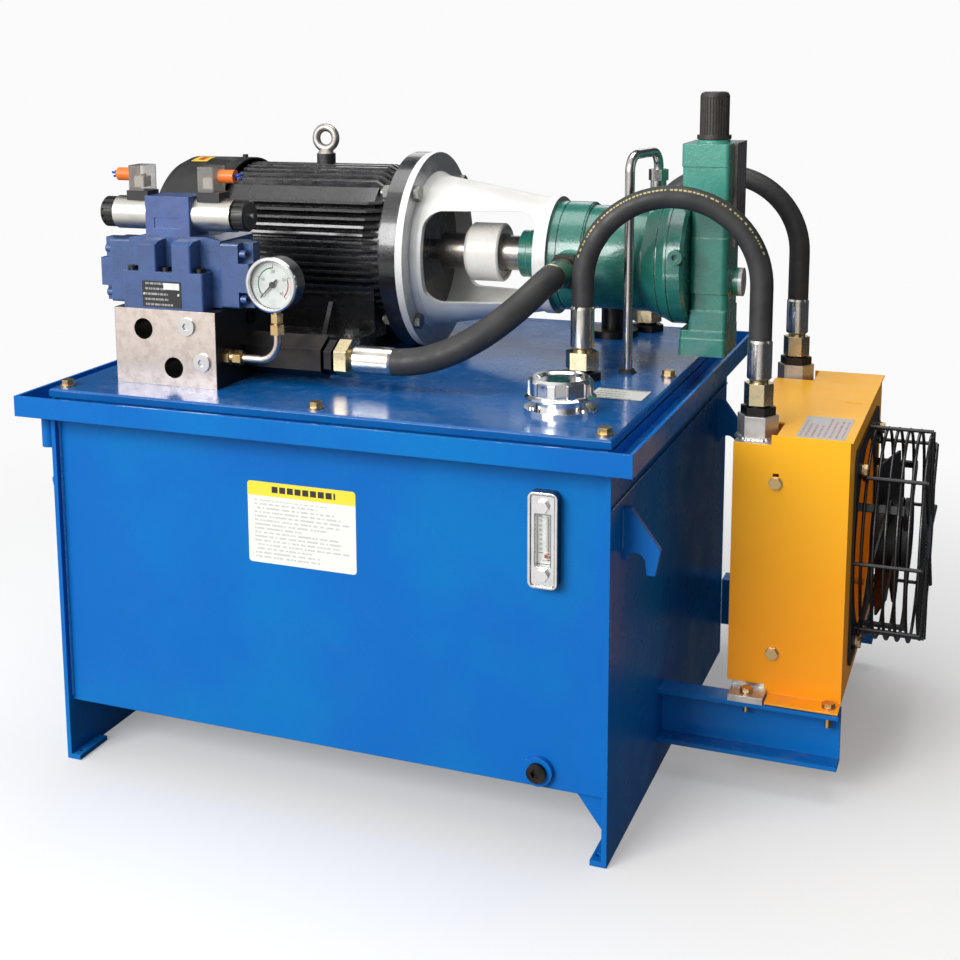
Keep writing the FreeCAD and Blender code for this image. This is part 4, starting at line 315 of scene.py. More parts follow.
def drive_bolt_steel():
    """Zinc hexagon bolts, black socket screws on the valve and chromed screws on the level gauge."""
    look = machined("drive_bolt_steel", (0.30, 0.29, 0.27), 0.38, line=0.5, tint=(0.20, 0.19, 0.17), patch=8)
    tone = look.surface.inputs["Base Color"].links[0].from_socket
    socket = look.maths("MULTIPLY", look.maths("SUBTRACT", 1.0, look.beyond(0, BLOCK_RIGHT)),
                        look.maths("SUBTRACT", 1.0, look.beyond(1, VALVE_SCREWS_Y)))
    tone = look.mix(socket, tone, (0.05, 0.048, 0.046))
    chromed = look.maths("SUBTRACT", 1.0, look.beyond(1, TANK_FRONT_Y + 6))
    look.set(Base_Color=look.mix(chromed, tone, (0.80, 0.80, 0.81)),
             Roughness=look.ramp(chromed, 0, 1, 0.36, 0.12))
    return look.done()


def frame_chrome():
    """Chromed level gauge frame: satin in front, with a painted dark reflection along its sides and painted
    shade in thin lines around the window openings.
    """
    look = machined("frame_chrome", (0.80, 0.80, 0.81), 0.16, line=20, depth=0.02, tint=(0.70, 0.70, 0.72),
                    patch=14, edge=1.6)
    tone = look.surface.inputs["Base Color"].links[0].from_socket
    front = look.ramp(look.facing(1, -1), 0.75, 1.0)
    low, high = box_mm("level_gauge_body")
    middle = (low + high) / 2

    def inside(half_x, half_z):
        return look.maths("MULTIPLY", look.within(0, middle.x - half_x, middle.x + half_x),
                          look.within(2, middle.z - half_z, middle.z + half_z))
    # Thin darker lines around the two window openings: painted shade.
    for half_x, half_z, width in ((13.4, 50.4, 0.8), (9.4, 29.6, 1.0)):
        outline = look.maths("SUBTRACT", inside(half_x, half_z), inside(half_x - width, half_z - width))
        shade = look.maths("SUBTRACT", 1.0, look.maths("MULTIPLY", outline, 0.8))
        front = look.maths("MULTIPLY", front, shade)
    # Near black wherever the frame doesn't face the front: painted dark reflection on the chrome.
    look.set(Base_Color=look.mix(front, (0.10, 0.11, 0.13), tone))
    return look.done()


def ferrule_metal():
    """Bright crimped ferrules, the one at the pump in olive zinc."""
    look = machined("ferrule_metal", (0.78, 0.76, 0.72), 0.16, (1, 1, 0.15), 0.8, 0.01,
                    tint=(0.62, 0.58, 0.52))
    near_port = look.within(0, PUMP_PORT_X - FERRULE_REACH, PUMP_PORT_X + FERRULE_REACH)
    at_pump = look.maths("MULTIPLY", near_port, look.beyond(2, PUMP_FERRULE_LOW_Z))
    tone = look.surface.inputs["Base Color"].links[0].from_socket
    look.set(Base_Color=look.mix(at_pump, tone, (0.30, 0.28, 0.20)))
    return look.done()


def gauge_tube_metal():
    """Coppery steel tube between yellow-zinc fittings."""
    look = machined("gauge_tube_metal", (0.62, 0.44, 0.22), 0.26, line=0.6, tint=(0.50, 0.33, 0.14), patch=9)
    tone = look.surface.inputs["Base Color"].links[0].from_socket
    tube = look.maths("MULTIPLY", look.beyond(0, BLOCK_RIGHT + 26),
                      look.maths("SUBTRACT", 1.0, look.beyond(2, GAUGE_Z - 61)))
    look.set(Base_Color=look.mix(tube, tone, (0.66, 0.55, 0.49)))
    return look.done()


def gauge_case_metal():
    """Chromed bezel on a black painted case."""
    look = uneven("gauge_case_metal", (0.014, 0.014, 0.015), 0.32, patch=20, grain=[(1.2, 0.02)], edge=0.6)
    tone = look.surface.inputs["Base Color"].links[0].from_socket
    bezel = look.maths("SUBTRACT", 1.0, look.beyond(1, GAUGE_FACE_Y + 5.3))
    look.set(Base_Color=look.mix(bezel, tone, (0.80, 0.80, 0.81)), Metallic=bezel,
             Roughness=look.ramp(bezel, 0, 1, 0.32, 0.10))
    return look.done()


def connector_plastic():
    """Cloudy clear plug housings on black bases, with orange cable glands."""
    look = Finish("connector_plastic")
    look.round_edges(0.8)
    look.relief(look.noise(2, 2), 0.02)
    base = look.maths("SUBTRACT", 1.0, look.beyond(2, CONNECTOR_SPLIT_Z))
    beside = look.maths("MAXIMUM", look.maths("SUBTRACT", 1.0, look.beyond(0, GLAND_LEFT_X)),
                        look.beyond(0, GLAND_RIGHT_X))
    outer = look.maths("MULTIPLY", beside, look.beyond(2, CONNECTOR_SPLIT_Z))
    orange = look.mix(look.noise(6, 3), (0.85, 0.20, 0.02), (0.70, 0.14, 0.015))
    solid = look.mix(outer, look.mix(look.noise(8, 3), (0.015, 0.015, 0.016), (0.03, 0.03, 0.03)), orange)
    look.set(Base_Color=solid, Roughness=0.35, Specular_IOR_Level=0.5, Normal=look.normal)
    cloud = look.mix(look.noise(5, 3), (0.86, 0.83, 0.78), (0.70, 0.67, 0.62))
    matt = look.add("ShaderNodeBsdfDiffuse", {"Color": cloud}).outputs[0]
    lit = look.add("ShaderNodeBsdfTranslucent", {"Color": cloud}).outputs[0]
    haze = look.add("ShaderNodeMixShader", {0: 0.5, 1: matt, 2: lit}).outputs[0]
    through = look.add("ShaderNodeBsdfTransparent", {"Color": (0.96, 0.95, 0.93, 1)}).outputs[0]
    clear_body = look.add("ShaderNodeMixShader", {0: 0.34, 1: through, 2: haze}).outputs[0]
    sheen = look.add("ShaderNodeBsdfGlossy", {"Roughness": 0.08, "Normal": look.normal}).outputs[0]
    slant = look.add("ShaderNodeFresnel", {"IOR": 1.5, "Normal": look.normal}).outputs[0]
    housing = look.add("ShaderNodeMixShader", {0: slant, 1: clear_body, 2: sheen}).outputs[0]
    opaque = look.maths("MAXIMUM", base, outer)
    out = look.add("ShaderNodeMixShader", {0: opaque, 1: housing, 2: look.surface.outputs[0]}).outputs[0]
    look.feed(look.tree.nodes["Material Output"].inputs["Surface"], out)
    return look.material


def hose_rubber():
    """Smooth dark hose cover with faint wrapping marks and scuffs."""
    look = uneven("hose_rubber", (0.030, 0.030, 0.031), 0.52, second=(0.042, 0.041, 0.040), patch=35,
                  waves=[(20, 0.12)], grain=[(1.3, 0.035)], edge=0.5, Specular_IOR_Level=0.4)
    scuffs = look.ramp(look.noise(14, 6, (1, 1, 0.3)), 0.66, 0.76, 0, 0.35)
    tone = look.surface.inputs["Base Color"].links[0].from_socket
    look.set(Base_Color=look.mix(scuffs, tone, (0.11, 0.11, 0.105)))
    return look.done()


def moulded(name, colour, roughness, grain=0.02, size=1.2, **inputs):
    """Moulded plastic or rubber."""
    look = uneven(name, colour, roughness, second=[0.85 * part for part in colour], patch=20, spread=0.06,
                  grain=[(size, grain)], edge=0.6, **inputs)
    return look.done()


def nylon():
    """Natural nylon, slightly waxy, with turning lines."""
    look = uneven("nylon", (0.86, 0.84, 0.79), 0.34, second=(0.80, 0.77, 0.70), patch=25, edge=1.0,
                  Subsurface_Weight=0.25, Subsurface_Scale=0.004)
    look.relief(look.noise(0.7, 2, (1, 0.05, 0.05)), 0.02)
    return look.done()


def cooler_paint():
    """Orange-yellow powder coat, paler towards the top, which is painted light."""
    # The faint orange emission is painted light: a glow that lifts the shroud's shaded insides.
    look = uneven("cooler_paint", (0.88, 0.315, 0.008), 0.36, second=(0.86, 0.29, 0.006), patch=120,
                  spread=0.05, waves=[(150, 0.5)], grain=[(1.8, 0.03)], edge=0.9, worn=(0.95, 0.62, 0.15),
                  wear=0.9, dust=0.12, Specular_IOR_Level=0.3, Emission_Color=(0.9, 0.33, 0.01, 1),
                  Emission_Strength=0.10)
    tone = look.surface.inputs["Base Color"].links[0].from_socket
    # Paler towards the top: painted light.
    pale = look.ramp(look.along(2), 0.12, 0.44)
    look.set(Base_Color=look.mix(pale, tone, (0.93, 0.46, 0.014)))
    return look.done()


def foam():
    """Open-cell filter foam, with painted shade in its pores."""
    look = Finish("foam")
    pores = look.ramp(look.cells(1.6), 0.2, 0.5)
    look.relief(pores, 0.5)
    # The pores are coloured dark: painted shade in the holes.
    look.set(Base_Color=look.mix(pores, (0.05, 0.05, 0.05), (0.28, 0.27, 0.25)), Roughness=0.95)
    return look.done()


def laminations():
    """Stacked varnished sheets, edge on."""
    look = machined("laminations", (0.20, 0.17, 0.14), 0.5, (1, 0.02, 0.02), 0.6, 0.06, patch=30)
    return look.done()


def castings():
    """Rough as-cast alloy of the cooler's headers and feet."""
    look = uneven("cast_alloy", (0.60, 0.58, 0.56), 0.42, second=(0.48, 0.46, 0.44), patch=18,
                  waves=[(9, 0.15)], grain=[(1.6, 0.10)], edge=1.0, worn=(0.8, 0.79, 0.77), wear=1.0,
                  Metallic=0.85)
    return look.done()


def box_mm(node):
    """A node's lowest and highest corner in millimetres."""
    return [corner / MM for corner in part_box(node)]


BLOCK_RIGHT = box_mm("manifold_block")[1].x
TANK_FRONT_Y = box_mm("level_gauge_body")[1].y
VALVE_SCREWS_Y = box_mm("main_valve_body")[0].y + 24
PUMP_PORT_X = 206.0
PUMP_FERRULE_LOW_Z = 585
FERRULE_REACH = 22
GAUGE_Z = (box_mm("gauge_case")[0].z + box_mm("gauge_case")[1].z) / 2
GAUGE_X = (box_mm("gauge_case")[0].x + box_mm("gauge_case")[1].x) / 2
GAUGE_FACE_Y = box_mm("gauge_case")[0].y
MOTOR_AXIS_Z = 612.0
CONNECTOR_SPLIT_Z = 714.0
GLAND_LEFT_X = -286.2
GLAND_RIGHT_X = -165.0
HEAD_RIGHT = 396.3
PLATE_LOW_Z = 632.0

MATERIALS = {
    tank_paint(): ["tank_shell", "drip_gutter", "cooler_beams"],
    cover_paint(): ["cover_plate"],
    motor_paint(): ["motor_frame", "motor_end_shields"],
    cowl_paint(): ["fan_cowl"],
    bell_paint(): ["bell_housing"],
    pump_paint(): ["pump_housing"],
    head_paint(): ["pump_control_head"],
    valve_paint("valve_paint", (0.032, 0.082, 0.235), [(2.4, 0.36), (0.9, 0.12)]):
        ["main_valve_body", "main_valve_caps"],
    valve_paint("pilot_paint", (0.055, 0.105, 0.30), [(1.5, 0.03)]): ["pilot_valve_body"],
    manifold_steel(): ["manifold_block"],
    port_plug_steel(): ["port_plugs"],
    drive_bolt_steel(): ["drive_bolts"],
    ferrule_metal(): ["hose_ferrules"],
    gauge_tube_metal(): ["gauge_tube"],
    gauge_case_metal(): ["gauge_case"],
    connector_plastic(): ["solenoid_connectors"],
    hose_rubber(): ["hoses"],
    nylon(): ["coupling_sleeve"],
    cooler_paint(): ["cooler_shroud"],
    foam(): ["breather_element"],
    laminations(): ["stator_core"],
    castings(): ["cooler_core"],
    machined("turned_steel", (0.42, 0.38, 0.35), 0.28, (1, 0.06, 0.06), 0.5, 0.02,
             tint=(0.30, 0.25, 0.22)).done():
        ["rotor_shaft", "coupling_hubs", "pump_shaft", "cylinder_block", "swash_plate", "bearings",
         "main_spool", "pilot_spool"],
    machined("satin_zinc", (0.68, 0.67, 0.64), 0.30, (0.1, 1, 1), 0.6, 0.01, tint=(0.60, 0.58, 0.54)).done():
        ["solenoids", "override_pin_left", "override_pin_right"],
    machined("polished_tube", (0.60, 0.58, 0.56), 0.16, (1, 1, 0.2), 0.7, 0.008).done(): ["case_drain_tube"],
    machined("galvanised", (0.50, 0.48, 0.45), 0.42, line=2.5, depth=0.05, tint=(0.38, 0.34, 0.30)).done():
        ["eyebolt", "suction_strainer", "filler_basket"],
    machined("yellow_zinc", (0.54, 0.37, 0.16), 0.30, line=1.0, tint=(0.55, 0.42, 0.26), patch=7).done():
        ["hex_bolts"],
    machined("nut_zinc", (0.66, 0.54, 0.33), 0.22, line=1.0, tint=(0.54, 0.46, 0.30), patch=9).done():
        ["hose_nuts"],
    machined("black_oxide", (0.030, 0.028, 0.028), 0.34, line=1.0, tint=(0.05, 0.045, 0.04)).done():
        ["suction_pipe", "check_valve", "hose_adaptors", "drain_plug"],
    machined("chrome", (0.88, 0.88, 0.88), 0.10, line=20, depth=0.02, tint=(0.84, 0.84, 0.84),
             patch=40).done():
        ["filler_neck", "filler_cap"],
    frame_chrome(): ["level_gauge_body"],
    clear("gauge_glass", (0.97, 0.98, 0.98)): ["gauge_lens"],
    clear("level_acrylic", (0.97, 0.98, 0.97), 0.06, 0.02): ["level_gauge_lens"],
    moulded("seal_rubber", (0.014, 0.014, 0.014), 0.6): ["rubber_seals"],
    moulded("black_moulding", (0.016, 0.015, 0.015), 0.36, 0.04, 1.0): ["solenoid_nuts", "motor_fan"],
    moulded("knob_moulding", (0.038, 0.031, 0.028), 0.32, 0.05, 0.9): ["pump_adjust_cap"],
    moulded("needle_paint", (0.010, 0.010, 0.010), 0.45, 0.01): ["gauge_needle"],
    moulded("guard_coat", (0.008, 0.008, 0.009), 0.30, 0.03, 1.4, Coat_Weight=0.4): ["fan_guard"],
    moulded("fan_moulding", (0.018, 0.018, 0.019), 0.45, 0.05, 1.5): ["cooler_fan", "fan_motor"],
}
for material, nodes in MATERIALS.items():
    for node in nodes:
        NODES[node].data.materials.clear()
        NODES[node].data.materials.append(material)


# ---- pieces made here

def piece(name, points, faces, material, body="base", smooth=False):
    """A mesh from points in millimetres that rides on a body."""
    mesh = bpy.data.meshes.new(name)
    mesh.from_pydata([Vector(point) * MM for point in points], [], faces)
    mesh.validate()
    mesh.update()
    if smooth:
        mesh.shade_smooth()
    made = bpy.data.objects.new(name, mesh)
    bpy.context.scene.collection.objects.link(made)
    mesh.materials.append(material)
    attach(made, body)
    return made


def arc(centre, radius, start, stop, steps):
    """Points on an arc, from one angle to another in degrees."""
    angles = [math.radians(start + (stop - start) * step / steps) for step in range(steps + 1)]
    return [(centre[0] + radius * math.cos(angle), centre[1] + radius * math.sin(angle)) for angle in angles]


def sheet_piece(name, outline, right, up, centre, thickness, material):
    """A thin plate: an outline in millimetres, laid on the plane of two directions."""
    right, up, centre = Vector(right), Vector(up), Vector(centre)
    out = right.cross(up).normalized() * thickness
    low = [centre + right * x + up * y for x, y in outline]
    count = len(low)
    faces = [tuple(range(count, 2 * count)), tuple(reversed(range(count)))]
    faces += [(i, (i + 1) % count, (i + 1) % count + count, i + count) for i in range(count)]
    return piece(name, low + [point + out for point in low], faces, material)


def rounded(width, height, radius, steps=5):
    """A rounded rectangle around the origin."""
    x, y = width / 2 - radius, height / 2 - radius
    corners = (((x, y), 0), ((-x, y), 90), ((-x, -y), 180), ((x, -y), 270))
    return [point for centre, start in corners for point in arc(centre, radius, start, start + 90, steps)]


def tube(name, points, radius, material, slot, rings=8):
    """A round wire along points, with each ring square to the path."""
    points = [Vector(point) for point in points]
    shape = []
    for number, point in enumerate(points):
        ahead = points[min(number + 1, len(points) - 1)] - points[max(number - 1, 0)]
        side = ahead.orthogonal().normalized()
        other = ahead.normalized().cross(side)
        for x, y in arc((0, 0), radius, 0, 360 - 360 / rings, rings - 1):
            shape.append(point + side * x + other * y)
    faces = []
    for number in range(len(points) - 1):
        for corner in range(rings):
            following = (corner + 1) % rings
            faces.append((number * rings + corner, number * rings + following,
                          (number + 1) * rings + following, (number + 1) * rings + corner))
    faces.append(tuple(reversed(range(rings))))
    faces.append(tuple(range((len(points) - 1) * rings, len(points) * rings)))
    return piece(name, shape, faces, material, smooth=True)


def weld_bead(name, start, stop, away, width, material, seed):
    """A rippled fillet weld along a line, bulging away from the corner it fills."""
    start, stop, away = Vector(start), Vector(stop), Vector(away).normalized()
    run = (stop - start).normalized()
    across = run.cross(away)
    chance = random.Random(seed)
    steps = max(int((stop - start).length / (width * 0.16)), 4)
    shape, ribs = [], 7
    swell = 1.0
    for step in range(steps + 1):
        centre = start + (stop - start) * step / steps
        ripple = 0.88 + 0.12 * abs(math.sin(math.pi * step / 4))
        swell += (1.0 - swell) * 0.2 + chance.uniform(-0.07, 0.07)
        size = width / 2 * ripple * swell * (0.35 if step in (0, steps) else 1)
        for rib in range(ribs):
            angle = math.pi * rib / (ribs - 1)
            lag = -run * width * 0.30 * (1 - math.sin(angle))
            shape.append(centre + across * size * math.cos(angle) + away * size * 0.8 * math.sin(angle) + lag)
    faces = []
    for step in range(steps):
        for rib in range(ribs - 1):
            low = step * ribs + rib
            faces.append((low, low + 1, low + 1 + ribs, low + ribs))
    return piece(name, shape, faces, material, smooth=True)


def joined(name, parts):
    """One piece out of several that have the same body and slot."""
    bpy.ops.object.select_all(action="DESELECT")
    for part in parts:
        part.select_set(True)
    bpy.context.view_layer.objects.active = parts[0]
    bpy.ops.object.join()
    parts[0].name = name
    return parts[0]


def printed(name, ground, ink, rows, band=None, band_share=0.0, margin=0.06, border=None, strength=0.75):
    """A printed label: rows of broken lines that stand for small print, and a coloured band at the top."""
    look = Finish(name)
    generated = look.texture_space.outputs["Generated"]
    split = look.add("ShaderNodeSeparateXYZ", {"Vector": generated})
    x, y = (split.outputs[axis] for axis in LABEL_AXES[name])
    inside = look.maths("MULTIPLY", look.ramp(x, margin, margin + 0.005),
                        look.ramp(x, 1 - margin, 0.995 - margin))
    body_top = 1 - band_share - 0.05
    inside = look.maths("MULTIPLY", inside, look.maths("MULTIPLY", look.ramp(y, 0.05, 0.055),
                                                       look.ramp(y, body_top, body_top - 0.005)))
    counted = look.maths("MULTIPLY", y, float(rows))
    row = look.maths("FLOOR", counted)
    phase = look.maths("FRACT", counted)
    line = look.maths("MULTIPLY", look.ramp(phase, 0.25, 0.35), look.ramp(phase, 0.75, 0.65))
    spread = look.add("ShaderNodeCombineXYZ", {"X": look.maths("MULTIPLY", x, 34.0), "Y": row}).outputs[0]
    words = look.add("ShaderNodeTexNoise", {"Vector": spread, "Scale": 1.0, "Detail": 0.0}).outputs["Fac"]
    length = look.add("ShaderNodeTexWhiteNoise", {"Vector": look.add(
        "ShaderNodeCombineXYZ", {"Y": row}).outputs[0]}, noise_dimensions="3D").outputs["Value"]
    ends = look.maths("LESS_THAN", x, look.maths("ADD", look.maths("MULTIPLY", length, 0.5), 0.48))
    marks = look.maths("MULTIPLY", look.maths("MULTIPLY", line, look.ramp(words, 0.44, 0.47)),
                       look.maths("MULTIPLY", inside, ends))
    fibre = look.mix(look.noise(3, 4), ground, [0.93 * part for part in ground])
    tone = look.mix(look.maths("MULTIPLY", marks, strength), fibre, ink)
    if band:
        top = look.ramp(y, 1 - band_share - 0.004, 1 - band_share)
        title = look.maths("MULTIPLY", look.ramp(y, 1 - 0.75 * band_share, 1 - 0.7 * band_share),
                           look.ramp(y, 1 - 0.25 * band_share, 1 - 0.3 * band_share))
        title = look.maths("MULTIPLY", title, look.maths("MULTIPLY", look.ramp(x, 0.22, 0.225),
                                                         look.ramp(x, 0.82, 0.815)))
        dashes = look.ramp(look.maths("FRACT", look.maths("MULTIPLY", x, 14.0)), 0.18, 0.24)
        tone = look.mix(top, tone, look.mix(look.maths("MULTIPLY", title, dashes), band, (0.02, 0.02, 0.02)))
    if border:
        edge_x = look.maths("MULTIPLY", look.ramp(x, 0.015, 0.02), look.ramp(x, 0.985, 0.98))
        edge_y = look.maths("MULTIPLY", look.ramp(y, 0.04, 0.05), look.ramp(y, 0.96, 0.95))
        tone = look.mix(look.maths("MULTIPLY", edge_x, edge_y), border, tone)
    look.relief(look.noise(30, 2), 0.05)
    look.set(Base_Color=tone, Roughness=look.ramp(look.noise(8, 4), 0.3, 0.7, 0.28, 0.42))
    return look


LABEL_AXES = {"notice_print": (0, 2), "cover_print": (0, 1), "cooler_print": (1, 0), "valve_print": (0, 2)}


def labels():
    """Plain stand-ins for the stickers and plates: no lettering, only rows of broken lines."""
    front = TANK_FRONT_Y
    notice = printed("notice_print", (0.84, 0.84, 0.80), (0.30, 0.30, 0.30), 20, (0.90, 0.72, 0.05), 0.17,
                     strength=0.5)
    sheet_piece("front_notice", rounded(138, 98, 4), (1, 0, 0), (0, 0, 1), (-16, front - 0.05, 341), 0.25,
                notice.done())
    cover_top = box_mm("cover_plate")[1].z
    small = printed("cover_print", (0.82, 0.82, 0.78), (0.12, 0.12, 0.12), 5, border=(0.02, 0.02, 0.02))
    sheet_piece("cover_label", rounded(66, 54, 2), (1, 0, 0), (0, 1, 0), (305, -114, cover_top + 0.05), 0.25,
                small.done())
    cooler_top = box_mm("cooler_shroud")[1].z
    grey = printed("cooler_print", (0.50, 0.50, 0.49), (0.42, 0.05, 0.04), 8)
    sheet_piece("cooler_label", rounded(105, 55, 2), (0, 1, 0), (-1, 0, 0),
                (526, -2, cooler_top + 0.05), 0.25, grey.done())
    valve_front = box_mm("main_valve_body")[0].y
    plate = printed("valve_print", (0.018, 0.018, 0.019), (0.45, 0.45, 0.44), 5)
    middle = (-224, valve_front - 0.05, 593)
    sheet_piece("valve_plate", rounded(54, 32, 1), (1, 0, 0), (0, 0, 1), middle, 0.6, plate.done())
    blank = moulded("plate_blank", (0.78, 0.78, 0.76), 0.4, 0.005)
    sheet_piece("valve_plate_box", rounded(22, 8, 0.5), (1, 0, 0), (0, 0, 1),
                (middle[0] + 14, middle[1] - 0.62, middle[2] + 10), 0.05, blank)
    rivet = machined("plate_rivet", (0.72, 0.70, 0.62), 0.25, line=1.0).done()
    rivets = [sheet_piece(f"valve_plate_rivet_{side}", arc((0, 0), 1.6, 0, 330, 11), (1, 0, 0), (0, 0, 1),
                          (middle[0] + side * 24, middle[1] - 0.5, middle[2]), 1.0, rivet)
              for side in (-1, 1)]
    joined("valve_plate_rivets", rivets)
    cowl_sticker()
    hose_print()


def curved_patch(name, axis_y, axis_z, radius, along, degrees, material, slot):
    """A thin sticker on a cylinder that lies along X. Its angles are from the top, towards the front."""
    steps = 8
    points, faces = [], []
    for step in range(steps + 1):
        angle = math.radians(degrees[0] + (degrees[1] - degrees[0]) * step / steps)
        for x in along:
            points.append((x, axis_y - radius * math.sin(angle), axis_z + radius * math.cos(angle)))
    for step in range(steps):
        low = 2 * step
        faces.append((low, low + 2, low + 3, low + 1))
    return piece(name, points, faces, material, smooth=True)


def cowl_sticker():
    """A plain yellow sticker with a red field on the fan cowl."""
    cowl_low, cowl_high = box_mm("fan_cowl")
    axis = ((cowl_low.y + cowl_high.y) / 2, MOTOR_AXIS_Z)
    yellow = moulded("sticker_yellow", (0.80, 0.55, 0.05), 0.4, 0.01)
    red = moulded("sticker_red", (0.62, 0.07, 0.03), 0.4, 0.01)
    radius = (cowl_high.y - cowl_low.y) / 2
    curved_patch("cowl_sticker", *axis, radius + 0.2, (-362, -336), (2, 16), yellow, "dial_white")
    curved_patch("cowl_sticker_field", *axis, radius + 0.3, (-354, -344), (5, 13), red, "dial_white")


def hose_print():
    """A broken yellow line along the front cooler hose, where its print would be."""
    base = Vector((241.5, -50, 0))
    port = Vector((450, -22, 0))
    crown, bend, radius = 599.8, 105.2, 13.7
    run = (port - base).normalized()
    middle = (base + port) / 2 + Vector((0, 0, crown))
    aside = Vector((run.y, -run.x, 0))
    points, faces = [], []
    chance = random.Random(5)
    turn = 16.0
    while turn < 160:
        width = chance.choice((1.0, 1.4, 1.8, 2.2))
        for degrees in (turn, turn + width):
            angle = math.radians(degrees)
            out = -run * math.cos(angle) + Vector((0, 0, math.sin(angle)))
            for lean in (42, 52):
                tilt = math.radians(lean)
                points.append(middle + out * (bend + radius * math.cos(tilt))
                              + aside * radius * math.sin(tilt))
        first = len(points) - 4
        faces.append((first, first + 1, first + 3, first + 2))
        turn += width + chance.choice((0.7, 0.9, 2.2))
    ink = moulded("hose_ink", (0.50, 0.42, 0.18), 0.5, 0.01)
    piece("hose_print", points, faces, ink)


def dial():
    """Printed dial of the pressure gauge: scale, numbers, and a green and a red arc."""
    enamel = uneven("dial_enamel", (0.86, 0.86, 0.83), 0.35, patch=15, grain=[(0.8, 0.004)], edge=0.2).done()
    ink = moulded("dial_ink", (0.02, 0.02, 0.02), 0.5, 0.004)
    green = moulded("dial_green", (0.02, 0.20, 0.08), 0.5, 0.004)
    red = moulded("dial_red", (0.62, 0.03, 0.02), 0.5, 0.004)
    face_y = GAUGE_FACE_Y + 7.9
    centre = (GAUGE_X, face_y, GAUGE_Z)
    right, up = (1, 0, 0), (0, 0, 1)

    def flat(name, outline, lift, material):
        at = (centre[0], centre[1] - lift, centre[2])
        return sheet_piece(name, outline, right, up, at, 0.05, material)

    def band(radius, width, start, stop):
        return arc((0, 0), radius, start, stop, 24) + arc((0, 0), radius - width, stop, start, 24)

    flat("dial_face", arc((0, 0), 28.9, 0, 352.5, 47), 0.0, enamel)
    flat("dial_green_arc", band(20.5, 1.6, 225, 90), 0.1, green)
    flat("dial_red_arc", band(20.5, 1.6, 20, -45), 0.1, red)
    marks = []
    for step in range(41):
        angle = math.radians(225 - 270 * step / 40)
        major = step % 10 == 0
        inner, half = (19.5 if major else 22.0), (0.35 if major else 0.15)
        along = Vector((math.cos(angle), math.sin(angle)))
        aside = Vector((-along.y, along.x)) * half
        outline = [along * inner - aside, along * 24.5 - aside, along * 24.5 + aside, along * inner + aside]
        marks.append(flat(f"mark_{step}", [tuple(corner) for corner in outline], 0.12, ink))
    joined("dial_marks", marks)
    numbers = []
    for step in range(5):
        angle = math.radians(225 - 67.5 * step)
        spot = (GAUGE_X + 15.2 * math.cos(angle), face_y - 0.15, GAUGE_Z + 15.2 * math.sin(angle))
        numbers.append(written(str(step * 10), 5.2, spot, ink))
    whole = joined("dial_numbers", numbers)
    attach(whole, "base")


def written(text, size, spot, material):
    """Upright digits in millimetres, facing the front, as a plain mesh."""
    curve = bpy.data.curves.new("digits", "FONT")
    curve.body = text
    curve.size = size * MM
    curve.align_x = curve.align_y = "CENTER"
    curve.extrude = 0.03 * MM
    shaper = bpy.data.objects.new("digits", curve)
    bpy.context.scene.collection.objects.link(shaper)
    shaper.matrix_world = Matrix.Translation(Vector(spot) * MM) @ Matrix.Rotation(math.pi / 2, 4, "X")
    bpy.context.view_layer.update()
    shape = bpy.data.meshes.new_from_object(shaper)
    shape.transform(shaper.matrix_world)
    bpy.data.objects.remove(shaper)
    solid = bpy.data.objects.new("numeral", shape)
    bpy.context.scene.collection.objects.link(solid)
    shape.materials.clear()
    shape.materials.append(material)
    return solid


def level_scale():
    """Printed back of the level window: digits, fine marks, and a red low zone."""
    low, high = box_mm("level_gauge_lens")
    middle = (low + high) / 2
    # The card's faint emission is painted light: a glow on the card behind the lens.
    card = uneven("scale_card", (0.88, 0.88, 0.86), 0.4, patch=12, edge=0.2,
                  Emission_Color=(0.9, 0.9, 0.88, 1), Emission_Strength=0.25)
    back = high.y - 0.6
    sheet_piece("level_card", rounded(16.4, 57, 0.6), (1, 0, 0), (0, 0, 1), (middle.x, back, middle.z), 0.3,
                card.done())
    ink = moulded("scale_ink", (0.03, 0.03, 0.035), 0.5, 0.004)
    grey = moulded("scale_grey", (0.38, 0.38, 0.40), 0.5, 0.004)
    red = moulded("scale_red", (0.60, 0.03, 0.05), 0.5, 0.004)

    def flat(name, width, height, x, z, material):
        return sheet_piece(name, rounded(width, height, 0.1, 1), (1, 0, 0), (0, 0, 1),
                           (middle.x + x, back - 0.35, middle.z + z), 0.05, material)
    marks = []
    for step in range(41):
        width = 6.0 if step % 5 == 0 else 4.0
        marks.append(flat(f"level_mark_{step}", width, 0.35, 3.2, -14 + step, grey))
    joined("level_marks", marks)
    strips = [(5.0, 0.9, -4.6, -16.4), (6.0, 0.9, 3.6, -17.2), (3.2, 4.2, 1.0, -20.2),
              (3.6, 1.0, 5.0, -24.0), (2.0, 2.6, 5.4, -20.6)]
    joined("level_red", [flat(f"level_red_{step}", *strip, red) for step, strip in enumerate(strips)])
    digits = []
    for step in range(1, 9):
        spot = (middle.x - 4.8, back - 0.4, middle.z - 12 + 5.2 * step - 5.2)
        digits.append(written(str(10 * step), 3.4, spot, ink))
    whole = joined("level_digits", digits)
    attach(whole, "base")


